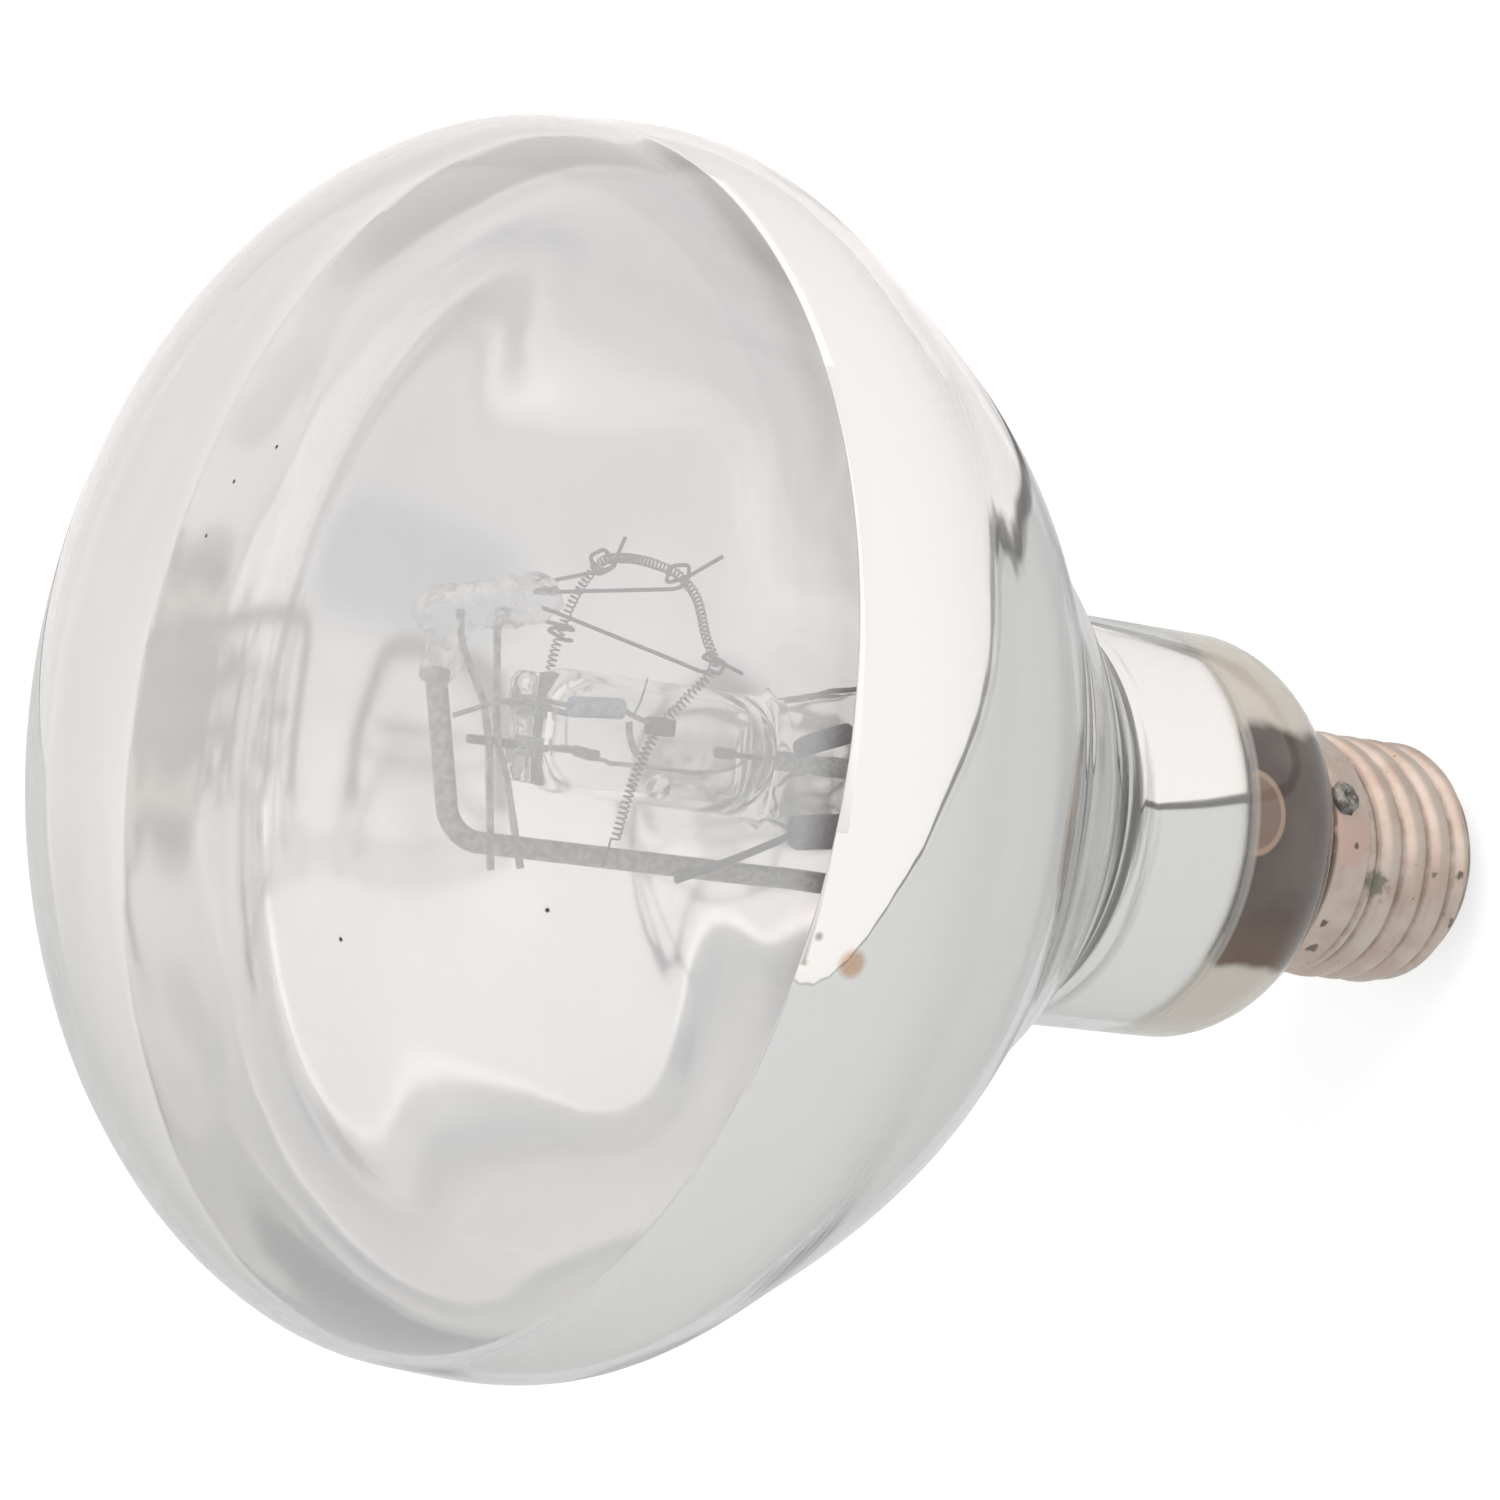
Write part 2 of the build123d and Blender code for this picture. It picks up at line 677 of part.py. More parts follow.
# Arc tube: quartz, pinched flat at both ends round the foils, with its tip-off
with BuildPart() as arc_tube:
    with BuildSketch(Plane.XY.offset(arc_bottom)):
        with Locations(arc_axis):
            Circle(arc_radius)
    extrude(amount=arc_top - arc_bottom)
    ends = [
        (arc_top, arc_top + shoulder_length, front_pinch_width, front_pinch_top),
        (arc_bottom, arc_bottom - shoulder_length, rear_pinch_width, rear_pinch_bottom),
    ]
    for round_end, flat_start, flat_width, flat_end in ends:
        with BuildSketch(Plane.XY.offset(round_end)):
            with Locations(arc_axis):
                Circle(arc_radius)
        with BuildSketch(Plane.XY.offset(flat_start)):
            with Locations(arc_axis):
                SlotOverall(flat_width, pinch_thickness)
        loft()
        with BuildSketch(Plane.XY.offset(flat_start)):
            with Locations(arc_axis):
                SlotOverall(flat_width, pinch_thickness)
        extrude(amount=flat_end - flat_start)
    tip_cos = cos(radians(tip_off_bearing))
    tip_sin = sin(radians(tip_off_bearing))
    tip_root = (
        arc_axis[0] + (arc_radius - arc_wall / 2) * tip_cos,
        arc_axis[1] + (arc_radius - arc_wall / 2) * tip_sin,
        tip_off_height,
    )
    with BuildSketch(Plane(tip_root, z_dir=(tip_cos, tip_sin, 0))):
        Circle(tip_off_radius)
    extrude(amount=tip_off_reach + arc_wall / 2, taper=tip_off_taper)
    with BuildSketch(Plane.XY.offset(arc_bottom + arc_wall / 2)):
        with Locations(arc_axis):
            Circle(arc_radius - arc_wall)
    extrude(amount=arc_top - arc_bottom - arc_wall, mode=Mode.SUBTRACT)
    held = [front_seal_foil, front_electrode, front_lead_wire, probe_seal_foil, starting_electrode]
    held += [probe_lead_wire, rear_seal_foil, rear_electrode, rear_lead_wire]
    for piece in held:
        add(piece.part, mode=Mode.SUBTRACT)
arc_tube.part.label = "arc_tube"
export_step(arc_tube.part, "parts/arc_tube.step")

# Straps: thin strips from the bead across the lead to the rod
with BuildPart() as strap_front:
    add(strip(strap_front_route, strap_width, strap_thickness, strap_bend))
strap_front.part.label = "strap_front"
export_step(strap_front.part, "parts/strap_front.step")

with BuildPart() as strap_rear:
    add(strip(strap_rear_route, strap_width, strap_thickness, strap_bend))
strap_rear.part.label = "strap_rear"
export_step(strap_rear.part, "parts/strap_rear.step")

# Filament: one fat tube of the coil's outer size, and the bare tail welded to the rod
with BuildPart() as filament:
    add(wire(filament_route, filament_radius, filament_bend))
    add(wire(tail_route, thin_wire_radius, filament_bend))
filament.part.label = "filament"
export_step(filament.part, "parts/filament.step")

# Crimp: the block in the middle of the filament
crimp_seat = bend_middle(filament_route, crimp_corner, filament_bend)[0]
with BuildPart() as filament_crimp:
    with Locations(crimp_seat):
        Box(*crimp_size)
    fillet(filament_crimp.edges().filter_by(Axis.Z), crimp_bend)
    add(filament.part, mode=Mode.SUBTRACT)
filament_crimp.part.label = "filament_crimp"
export_step(filament_crimp.part, "parts/filament_crimp.step")

# Hooks: wires from the bead, each with one turn round the filament
hooks = []
for place, (root, corner, tail) in hook_places.items():
    with BuildPart() as filament_hook:
        add(hook(root, corner, tail))
    filament_hook.part.label = f"filament_hook_{place}"
    export_step(filament_hook.part, f"parts/filament_hook_{place}.step")
    hooks.append(filament_hook)

# Support bead: glass fused over the rod's tip, with the hooks and straps sealed in
with BuildPart() as support_bead:
    add(rod_between(bead_front, bead_rear, bead_radius))
    fillet(support_bead.edges().filter_by(GeomType.CIRCLE), bead_radius / 2)
    add(rod_between(lug_start, lug_end, cane_radius))
    for piece in [frame_rod, strap_front, strap_rear] + hooks:
        add(piece.part, mode=Mode.SUBTRACT)
support_bead.part.label = "support_bead"
export_step(support_bead.part, "parts/support_bead.step")

# Starting resistor with its front wire to the rod and rear wire to the crimp
with BuildPart() as starting_resistor:
    add(rod_between(resistor_front, resistor_rear, resistor_radius))
starting_resistor.part.label = "starting_resistor"
export_step(starting_resistor.part, "parts/starting_resistor.step")

with BuildPart() as resistor_front_wire:
    add(wire(front_wire_route, link_wire_radius, filament_bend))
resistor_front_wire.part.label = "resistor_front_wire"
export_step(resistor_front_wire.part, "parts/resistor_front_wire.step")

with BuildPart() as resistor_rear_wire:
    add(wire(rear_wire_route, link_wire_radius, filament_bend))
resistor_rear_wire.part.label = "resistor_rear_wire"
export_step(resistor_rear_wire.part, "parts/resistor_rear_wire.step")

# Thin wire and strip beside the crimp
with BuildPart() as crimp_wire:
    add(wire(crimp_wire_route, thin_wire_radius, filament_bend))
crimp_wire.part.label = "crimp_wire"
export_step(crimp_wire.part, "parts/crimp_wire.step")

with BuildPart() as crimp_ribbon:
    add(strip(crimp_ribbon_route, strap_width, strap_thickness / 2, filament_bend))
crimp_ribbon.part.label = "crimp_ribbon"
export_step(crimp_ribbon.part, "parts/crimp_ribbon.step")

# Lead sleeve beside the arc tube, its wavy wire to the rod and its wire to the stem
with BuildPart() as lead_sleeve:
    add(rod_between(sleeve_front, sleeve_rear, sleeve_radius))
lead_sleeve.part.label = "lead_sleeve"
export_step(lead_sleeve.part, "parts/lead_sleeve.step")

with BuildPart() as sleeve_lead:
    add(wire(sleeve_lead_route, sleeve_lead_radius, filament_bend))
sleeve_lead.part.label = "sleeve_lead"
export_step(sleeve_lead.part, "parts/sleeve_lead.step")

with BuildPart() as sleeve_tail:
    add(wire(sleeve_tail_route, sleeve_lead_radius, filament_bend))
sleeve_tail.part.label = "sleeve_tail"
export_step(sleeve_tail.part, "parts/sleeve_tail.step")

# Rear resistor and the bowed wire beside the rear pinch
with BuildPart() as rear_resistor:
    add(rod_between(rear_resistor_front, rear_resistor_rear, rear_resistor_radius))
rear_resistor.part.label = "rear_resistor"
export_step(rear_resistor.part, "parts/rear_resistor.step")

with BuildPart() as rear_resistor_wire:
    add(wire(rear_resistor_route, link_wire_radius, filament_bend))
rear_resistor_wire.part.label = "rear_resistor_wire"
export_step(rear_resistor_wire.part, "parts/rear_resistor_wire.step")

with BuildPart() as rear_arch_wire:
    add(wire(arch_route, link_wire_radius, filament_bend))
rear_arch_wire.part.label = "rear_arch_wire"
export_step(rear_arch_wire.part, "parts/rear_arch_wire.step")

# Return wire: carries the far end of the filament back to the stem
with BuildPart() as filament_return_wire:
    add(wire(return_route, sleeve_lead_radius, filament_bend))
filament_return_wire.part.label = "filament_return_wire"
export_step(filament_return_wire.part, "parts/filament_return_wire.step")
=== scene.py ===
"""Looks of a reptile basking lamp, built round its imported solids.

Shapes are worked in millimetres and brought to metres when a piece is settled. The lamp
stands on its centre contact, with its axis on Z and its glass face up.
"""

from dataclasses import dataclass
from enum import Enum
import logging
from math import cos, hypot, pi, radians, sin

import bmesh
import bpy
from mathutils import Matrix, Vector, noise
from mathutils.geometry import interpolate_bezier

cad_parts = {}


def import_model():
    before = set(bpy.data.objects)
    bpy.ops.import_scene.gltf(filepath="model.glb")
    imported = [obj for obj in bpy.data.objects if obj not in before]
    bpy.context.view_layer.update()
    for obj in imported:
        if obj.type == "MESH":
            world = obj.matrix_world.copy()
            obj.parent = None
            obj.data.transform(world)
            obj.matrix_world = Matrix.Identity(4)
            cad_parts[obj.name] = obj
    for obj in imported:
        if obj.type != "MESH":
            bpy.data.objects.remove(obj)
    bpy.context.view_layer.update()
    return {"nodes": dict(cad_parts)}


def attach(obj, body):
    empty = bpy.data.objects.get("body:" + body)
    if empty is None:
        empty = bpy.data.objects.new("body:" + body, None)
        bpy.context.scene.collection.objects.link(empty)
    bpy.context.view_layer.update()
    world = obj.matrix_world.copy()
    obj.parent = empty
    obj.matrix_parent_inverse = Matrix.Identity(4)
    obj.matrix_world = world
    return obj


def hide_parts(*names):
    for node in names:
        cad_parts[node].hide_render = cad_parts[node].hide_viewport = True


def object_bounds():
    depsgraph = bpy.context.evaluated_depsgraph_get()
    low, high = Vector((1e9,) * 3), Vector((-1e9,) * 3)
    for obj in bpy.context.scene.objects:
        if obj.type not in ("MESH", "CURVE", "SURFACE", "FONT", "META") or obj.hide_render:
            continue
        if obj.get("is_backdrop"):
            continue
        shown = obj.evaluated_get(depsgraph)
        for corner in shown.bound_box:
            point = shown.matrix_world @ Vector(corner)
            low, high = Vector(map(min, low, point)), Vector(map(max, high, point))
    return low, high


MM = 0.001
log = logging.getLogger("lamp")

Mesh = bmesh.types.BMesh
Node = bpy.types.Node
Socket = bpy.types.NodeSocket
Tree = bpy.types.NodeTree
Point = tuple[float, float, float]
Span = tuple[float, float]
Paint = Node | tuple | str


class Ray(Enum):
    """The kinds of ray that a studio surface is told apart by."""

    CAMERA = "Is Camera Ray"
    GLOSSY = "Is Glossy Ray"
    THROUGH = "Is Transmission Ray"
    SHADOW = "Is Shadow Ray"
    MIRRORED = "Glossy Depth"


class Stain(Enum):
    """What a mark on the cap's sheet is."""

    GRIME = "#5f554b"
    BARE = "#7d7b6c"
    BLUSH = "#d3b5a8"


class Fade(Enum):
    """How a range of values is crossed."""

    EVEN = "LINEAR"
    SOFT = "SMOOTHSTEP"


def linear(shade: str) -> tuple[float, float, float, float]:
    """Turns an sRGB hex colour into linear light.

    Args:
        shade: a colour such as "#aabbcc".

    Returns:
        The linear red, green and blue, with an alpha of 1.
    """
    parts = [int(shade[i : i + 2], 16) / 255 for i in (1, 3, 5)]
    light = [p / 12.92 if p <= 0.04045 else ((p + 0.055) / 1.055) ** 2.4 for p in parts]
    return (*light, 1.0)


def put(tree: Tree, kind: str, sockets: dict | None = None, **settings) -> Node:
    """Adds a shader node with its settings, socket values and links.

    Args:
        tree: the node tree it goes into.
        kind: the node's type name, without the ShaderNode in front.
        sockets: what each input gets, by name or place: a value, an output to link, or a node
            whose first output in use is linked. A MapRange has its value at 0, its range at 1
            and 2, and what that becomes at 3 and 4. A colour Mix has its colours at 6 and 7.
        **settings: the node's own properties.

    Returns:
        The new node.
    """
    node = tree.nodes.new("ShaderNode" + kind)
    for name, value in settings.items():
        setattr(node, name, value.value if isinstance(value, Enum) else value)
    for socket, value in (sockets or {}).items():
        if isinstance(value, Node):
            value = next(output for output in value.outputs if output.enabled)
        if isinstance(value, Socket):
            tree.links.new(value, node.inputs[socket])
        else:
            node.inputs[socket].default_value = value
    return node


def near(tree: Tree, here: Node | Socket, spot: Point | float, span: Span, most: float, fade: Fade) -> Node:
    """Finds how much of a round mark, or of a band across one direction, lies on a surface point.

    Args:
        tree: the tree it goes into.
        here: the surface point, or its place along one direction, in metres.
        spot: the mark's middle, or the band's place, in millimetres.
        span: how far its full part and its edge reach, in millimetres.
        most: its strength in the middle.
        fade: how its edge fades.

    Returns:
        The node that gives the mark's share.
    """
    if isinstance(spot, float):
        away = put(tree, "Math", {0: here, 1: spot * MM}, operation="SUBTRACT")
        away = put(tree, "Math", {0: away}, operation="ABSOLUTE")
    else:
        away = put(tree, "VectorMath", {0: here, 1: tuple(c * MM for c in spot)}, operation="DISTANCE")
    core, reach = (r * MM for r in span)
    return put(tree, "MapRange", {0: away, 1: core, 2: reach, 3: most, 4: 0.0}, interpolation_type=fade)


def layered(tree: Tree, colour: Paint, *layers: tuple[Node | Socket, Paint]) -> Node:
    """Lays colours over each other.

    Args:
        tree: the tree it goes into.
        colour: the lowest one: a hex colour, linear light or a node.
        *layers: the share and the colour of each one above it.

    Returns:
        The node that gives the top colour.
    """
    for share, paint in layers:
        under, over = (linear(c) if isinstance(c, str) else c for c in (colour, paint))
        colour = put(tree, "Mix", {0: share, 6: under, 7: over}, data_type="RGBA")
    return colour


@dataclass(frozen=True)
class Finish:
    """The finish of a surface, named for what the real one is."""

    name: str
    shade: str
    roughness: float

    def material(self) -> bpy.types.Material:
        """Returns the finish's material, made once."""
        made = bpy.data.materials.get(self.name)
        if made is None:
            made = bpy.data.materials.new(self.name)
            made.use_nodes = True
            tree = made.node_tree
            tree.nodes.clear()
            put(tree, "OutputMaterial", {"Surface": self.shader(tree)})
        return made

    def shader(self, tree: Tree) -> Node:
        """Builds the finish's nodes and returns the last one."""
        raise NotImplementedError


@dataclass(frozen=True)
class Mottled(Finish):
    """A metal, ceramic or polymer whose colour, gloss and relief vary at a real size."""

    deep: str
    grain: float
    metallic: float = 1.0
    relief: float = 0.02
    blur: float = 0.13
    rough_span: float = 0.12

    def shader(self, tree: Tree) -> Node:
        """Builds the mottled shader.

        Args:
            tree: the material's tree.

        Returns:
            Its Principled shader.
        """
        here = put(tree, "TexCoord").outputs["Object"]
        size = 1 / (self.grain * MM)
        patches = put(tree, "TexNoise", {"Vector": here, "Scale": size, "Detail": 5.0, "Roughness": 0.6})
        low, high = 0.5 - self.blur, 0.5 + self.blur
        share = put(tree, "MapRange", {0: patches, 1: low, 2: high}, interpolation_type=Fade.SOFT)
        colour = layered(tree, self.deep, (share, self.shade))
        dull = min(1.0, self.roughness + self.rough_span)
        gloss = put(tree, "MapRange", {0: patches, 1: 0.3, 2: 0.7, 3: dull, 4: self.roughness})
        relief = put(tree, "Bump", {"Height": patches, "Strength": 0.6, "Distance": self.relief * MM})
        return put(
            tree, "BsdfPrincipled",
            {"Base Color": colour, "Roughness": gloss, "Metallic": self.metallic, "Normal": relief},
        )


@dataclass(frozen=True)
class WornShell(Finish):
    """Rolled brass sheet under thin nickel, rubbed pink, darker in the thread's valleys, with a painted
    shadow under the collar's rim.
    """

    worn: str
    root_radius: float
    rim: float
    marks: tuple[tuple[Stain, Point, float], ...]
    cloud: float = 5.0
    grit: float = 1.6
    fleck: float = 1.5
    fray: float = 0.9

    def dark_and_shadow(self, tree: Tree, here: Socket) -> Node:
        """Darkens the thread's valleys in broken patches, and paints the shadow under the collar's rim.

        Args:
            tree: the material's tree.
            here: the surface point.

        Returns:
            The node that gives the share of the dark colour.
        """
        place = put(tree, "SeparateXYZ", {0: here}).outputs
        level = put(tree, "CombineXYZ", {0: place[0], 1: place[1]})
        radius = put(tree, "VectorMath", {0: level}, operation="LENGTH")
        low, high = (self.root_radius + 0.05) * MM, (self.root_radius + 0.55) * MM
        valley = put(
            tree, "MapRange", {0: radius, 1: low, 2: high, 3: 1.0, 4: 0.0}, interpolation_type=Fade.SOFT
        )
        broken = put(tree, "TexNoise", {"Vector": here, "Scale": 1 / (self.grit * MM), "Detail": 4.0})
        patchy = put(tree, "MapRange", {0: broken, 1: 0.25, 2: 0.6, 3: 0.12, 4: 0.5})
        dark_and_shadow = put(tree, "Math", {0: valley, 1: patchy}, operation="MULTIPLY")
        # painted shadow: the sheet darkens just under the collar's rim, where the glass meets it
        low, high = (self.rim - 0.75) * MM, (self.rim - 0.3) * MM
        rim_shadow = put(tree, "MapRange", {0: place[2], 1: low, 2: high, 4: 0.8})
        return put(tree, "Math", {0: dark_and_shadow, 1: rim_shadow}, operation="MAXIMUM")

    def shader(self, tree: Tree) -> Node:
        """Builds the worn sheet's shader.

        Args:
            tree: the material's tree.

        Returns:
            Its Principled shader.
        """
        here = put(tree, "TexCoord").outputs["Object"]
        size = 1 / (self.cloud * MM)
        clouds = put(tree, "TexNoise", {"Vector": here, "Scale": size, "Detail": 6.0, "Roughness": 0.62})
        rub = put(tree, "MapRange", {0: clouds, 1: 0.36, 2: 0.64}, interpolation_type=Fade.SOFT)
        dark_and_shadow = self.dark_and_shadow(tree, here)
        flecks = put(tree, "TexVoronoi", {"Vector": here, "Scale": 1 / (self.fleck * MM), "Randomness": 1.0})
        pits = put(tree, "MapRange", {0: flecks, 1: 0.05, 2: 0.13, 3: 0.75, 4: 0.0})
        rare = put(tree, "MapRange", {0: clouds, 1: 0.42, 2: 0.5, 3: 1.0, 4: 0.0})
        pits = put(tree, "Math", {0: pits, 1: rare}, operation="MULTIPLY")
        # the grime colour also paints the shadow under the collar's rim
        dirt_and_shadow = Stain.GRIME.value
        colour = layered(tree, self.worn, (rub, self.shade), (dark_and_shadow, dirt_and_shadow), (pits, dirt_and_shadow))
        ragged = put(tree, "TexNoise", {"Vector": here, "Scale": 1 / (self.fray * MM), "Detail": 4.0})
        stray = put(
            tree, "VectorMath", {0: ragged.outputs["Color"], 1: (0.5, 0.5, 0.5)}, operation="SUBTRACT"
        )
        for stain, spot, reach in self.marks:
            moved = put(tree, "VectorMath", {0: stray, "Scale": 1.6 * reach * MM}, operation="SCALE")
            moved = put(tree, "VectorMath", {0: here, 1: moved}, operation="ADD")
            share = near(tree, moved, spot, (0.5 * reach, reach), 0.85, Fade.SOFT)
            colour = layered(tree, colour, (share, stain.value))
        gloss = put(tree, "MapRange", {0: dark_and_shadow, 3: self.roughness, 4: self.roughness + 0.3})
        height = put(tree, "Math", {0: clouds, 1: pits}, operation="SUBTRACT")
        relief = put(tree, "Bump", {"Height": height, "Strength": 0.5, "Distance": 0.06 * MM})
        return put(
            tree, "BsdfPrincipled",
            {"Base Color": colour, "Roughness": gloss, "Metallic": 0.85, "Normal": relief},
        )


@dataclass(frozen=True)
class Glass(Finish):
    """Clear glass that lets the lamps' light through, with a little haze or crumple."""

    clarity: float = 0.97
    ior: float = 1.5
    crumple: float = 0.0
    grain: float = 2.0

    def pane(self, tree: Tree, colour: Paint, clear: Node | float, relief: Node) -> Node:
        """Makes glass that lets rays to the lamps pass.

        Args:
            tree: the material's tree.
            colour: its tint.
            clear: how much light it lets through.
            relief: its bump.

        Returns:
            The mixed shader.
        """
        body = put(
            tree, "BsdfPrincipled",
            {
                "Base Color": colour,
                "Roughness": self.roughness,
                "IOR": self.ior,
                "Transmission Weight": clear,
                "Normal": relief,
            },
        )
        path = put(tree, "LightPath").outputs[Ray.SHADOW.value]
        passed = put(tree, "BsdfTransparent", {"Color": (0.94, 0.94, 0.94, 1.0)})
        return put(tree, "MixShader", {0: path, 1: body, 2: passed})

    def shader(self, tree: Tree) -> Node:
        """Builds plain or crumpled glass.

        Args:
            tree: the material's tree.

        Returns:
            The mixed shader.
        """
        here = put(tree, "TexCoord").outputs["Object"]
        folds = put(tree, "TexNoise", {"Vector": here, "Scale": 1 / (self.grain * MM), "Detail": 3.0})
        relief = put(tree, "Bump", {"Height": folds, "Strength": 1.0, "Distance": self.crumple * MM})
        return self.pane(tree, linear(self.shade), self.clarity, relief)


@dataclass(frozen=True)
class BulbGlass(Glass):
    """Blown soda-lime glass, clear at the face, with a smoky film in its throat, painted shade on the face's
    top side and greyer where it is seen edge-on.
    """

    # painted shade: the glass's tint where it is seen edge-on
    rim: str = "#eaeae8"
    # painted shade: the tint of the face's top side, across this span of X
    top_shade: str = "#e4e4e6"
    top_shade_span: Span = (-18.0, 48.0)
    veil: float = 0.18
    edge_veil: float = 0.6
    veil_height: float = 127.0
    veil_fade: float = 3.0
    throat: str = "#ebe5dc"
    throat_veil: float = 0.42
    film_bottom: float = 44.3
    smoke: str = "#5d5350"
    smoke_veil: float = 0.9
    thinned: str = "#938880"
    singed: str = "#6b5547"
    shoulder: float = 31.0
    smoke_span: Span = (-132.0, -57.0)
    drift: float = 9.0
    stray: float = 0.16
    lens: str = "#957c6f"
    lip: str = "#b79d8a"
    lens_bearing: float = -85.0
    lens_height: float = 44.6
    lens_radius: float = 4.1
    lens_squash: float = 1.15
    neck_radius: float = 21.3
    speck: str = "#3c3a3a"
    speck_span: Span = (0.16, 0.26)
    swell: float = 22.0
    specks: tuple[Point, ...] = ()

    def smoky(self, tree: Tree, height: Socket, turned: Node) -> Node:
        """Finds where the smoky film lies: in the throat, on one side.

        Args:
            tree: the material's tree.
            height: the surface point's height.
            turned: its ragged bearing, in radians.

        Returns:
            The node that gives the film's share.
        """
        low, high = (radians(a) for a in self.smoke_span)
        shoulder, top = self.shoulder * MM, self.film_bottom * MM
        share: Node | float = 1.0
        for value, start, end, fade in (
            (height, shoulder - 1.6 * MM, shoulder + 0.4 * MM, Fade.SOFT),
            (height, top + 0.5 * MM, top - 0.3 * MM, Fade.EVEN),
            (turned, low - 0.02, low + 0.06, Fade.SOFT),
            (turned, high + 0.02, high - 0.08, Fade.SOFT),
        ):
            step = put(tree, "MapRange", {0: value, 1: start, 2: end}, interpolation_type=fade)
            share = put(tree, "Math", {0: share, 1: step}, operation="MULTIPLY")
        return share

    def soot(self, tree: Tree, height: Socket, bearing: Node, turned: Node, drift: Node) -> Node:
        """Colours the smoky film, with the clear lens and its lip in it.

        Args:
            tree: the material's tree.
            height: the surface point's height.
            bearing: its true bearing, in radians.
            turned: its ragged bearing.
            drift: the noise that thins the film.

        Returns:
            The node that gives the film's colour.
        """
        start = radians(self.smoke_span[0])
        edge = put(
            tree, "MapRange", {0: turned, 1: start + 0.05, 2: start + 0.5}, interpolation_type=Fade.SOFT
        )
        thin = put(tree, "MapRange", {0: drift, 1: 0.42, 2: 0.68, 4: 0.3})
        across = put(tree, "Math", {0: bearing, 1: radians(self.lens_bearing)}, operation="SUBTRACT")
        across = put(tree, "Math", {0: across, 1: self.neck_radius * MM}, operation="MULTIPLY")
        rise = put(tree, "Math", {0: height, 1: self.lens_height * MM}, operation="SUBTRACT")
        rise = put(tree, "Math", {0: rise, 1: self.lens_squash}, operation="MULTIPLY")
        place = put(tree, "CombineXYZ", {0: across, 1: rise})
        far = put(tree, "VectorMath", {0: place}, operation="LENGTH")
        low, high = (self.lens_radius - 0.2) * MM, (self.lens_radius + 0.4) * MM
        inside = put(tree, "MapRange", {0: far, 1: low, 2: high, 3: 0.8, 4: 0.0})
        border = near(tree, far, self.lens_radius, (0.2, 0.5), 0.8, Fade.EVEN)
        film = layered(tree, self.singed, (edge, self.smoke), (thin, self.thinned))
        return layered(tree, film, (inside, self.lens), (border, self.lip))

    def tint(self, tree: Tree, place: bpy.types.bpy_prop_collection, graze: Socket, below: Node) -> Node:
        """Tints the clear glass: painted shade where it is seen edge-on and on the face's top side, and the
        throat's own tint.

        Args:
            tree: the material's tree.
            place: the surface point's X, Y and Z.
            graze: how flat the surface is seen.
            below: 1 under the film's end.

        Returns:
            The node that gives the tint.
        """
        # painted shade: the face's glass greys towards +X, the top of the main view
        left, right = (x * MM for x in self.top_shade_span)
        top_shaded = put(tree, "MapRange", {0: place[0], 1: left, 2: right}, interpolation_type=Fade.SOFT)
        low, high = (self.veil_height - self.veil_fade) * MM, (self.veil_height + self.veil_fade) * MM
        front = put(tree, "MapRange", {0: place[2], 1: low, 2: high})
        top_shaded = put(tree, "Math", {0: top_shaded, 1: front}, operation="MULTIPLY")
        return layered(tree, self.shade, (top_shaded, self.top_shade), (graze, self.rim), (below, self.throat))

    def shader(self, tree: Tree) -> Node:
        """Builds the bulb's glass.

        Args:
            tree: the material's tree.

        Returns:
            The mixed shader.
        """
        here = put(tree, "TexCoord").outputs["Object"]
        place = put(tree, "SeparateXYZ", {0: here}).outputs
        bearing = put(tree, "Math", {0: place[1], 1: place[0]}, operation="ARCTAN2")
        drift = put(tree, "TexNoise", {"Vector": here, "Scale": 1 / (self.drift * MM), "Detail": 3.0})
        ragged = put(tree, "MapRange", {0: drift, 3: -self.stray, 4: self.stray})
        turned = put(tree, "Math", {0: bearing, 1: ragged}, operation="ADD")
        low, high = (self.film_bottom - 0.2) * MM, (self.film_bottom + 1.2) * MM
        below = put(tree, "MapRange", {0: place[2], 1: low, 2: high, 3: 1.0, 4: 0.0})
        graze = put(tree, "LayerWeight", {"Blend": 0.3}).outputs["Facing"]
        smoke = self.smoky(tree, place[2], turned)
        soot = self.soot(tree, place[2], bearing, turned, drift)
        colour = layered(tree, self.tint(tree, place, graze, below), (smoke, soot))
        film = put(tree, "MapRange", {0: graze, 3: self.veil, 4: self.edge_veil})
        low, high = self.veil_height * MM, (self.veil_height + self.veil_fade) * MM
        haze = 1 - self.clarity
        hidden = put(tree, "MapRange", {0: place[2], 1: low, 2: high, 3: haze, 4: film})
        hidden = put(tree, "Mix", {0: below, 2: hidden, 3: self.throat_veil}, data_type="FLOAT")
        hidden = put(tree, "Mix", {0: smoke, 2: hidden, 3: self.smoke_veil}, data_type="FLOAT")
        for spot in self.specks:
            dot = near(tree, here, spot, self.speck_span, 1.0, Fade.EVEN)
            colour = layered(tree, colour, (dot, self.speck))
            hidden = put(tree, "Math", {0: hidden, 1: dot}, operation="MAXIMUM")
        clear = put(tree, "Math", {0: 1.0, 1: hidden}, operation="SUBTRACT")
        swell = put(tree, "TexNoise", {"Vector": here, "Scale": 1 / (self.swell * MM), "Detail": 1.0})
        relief = put(tree, "Bump", {"Height": swell, "Strength": 0.35, "Distance": 0.3 * MM})
        return self.pane(tree, colour, clear, relief)


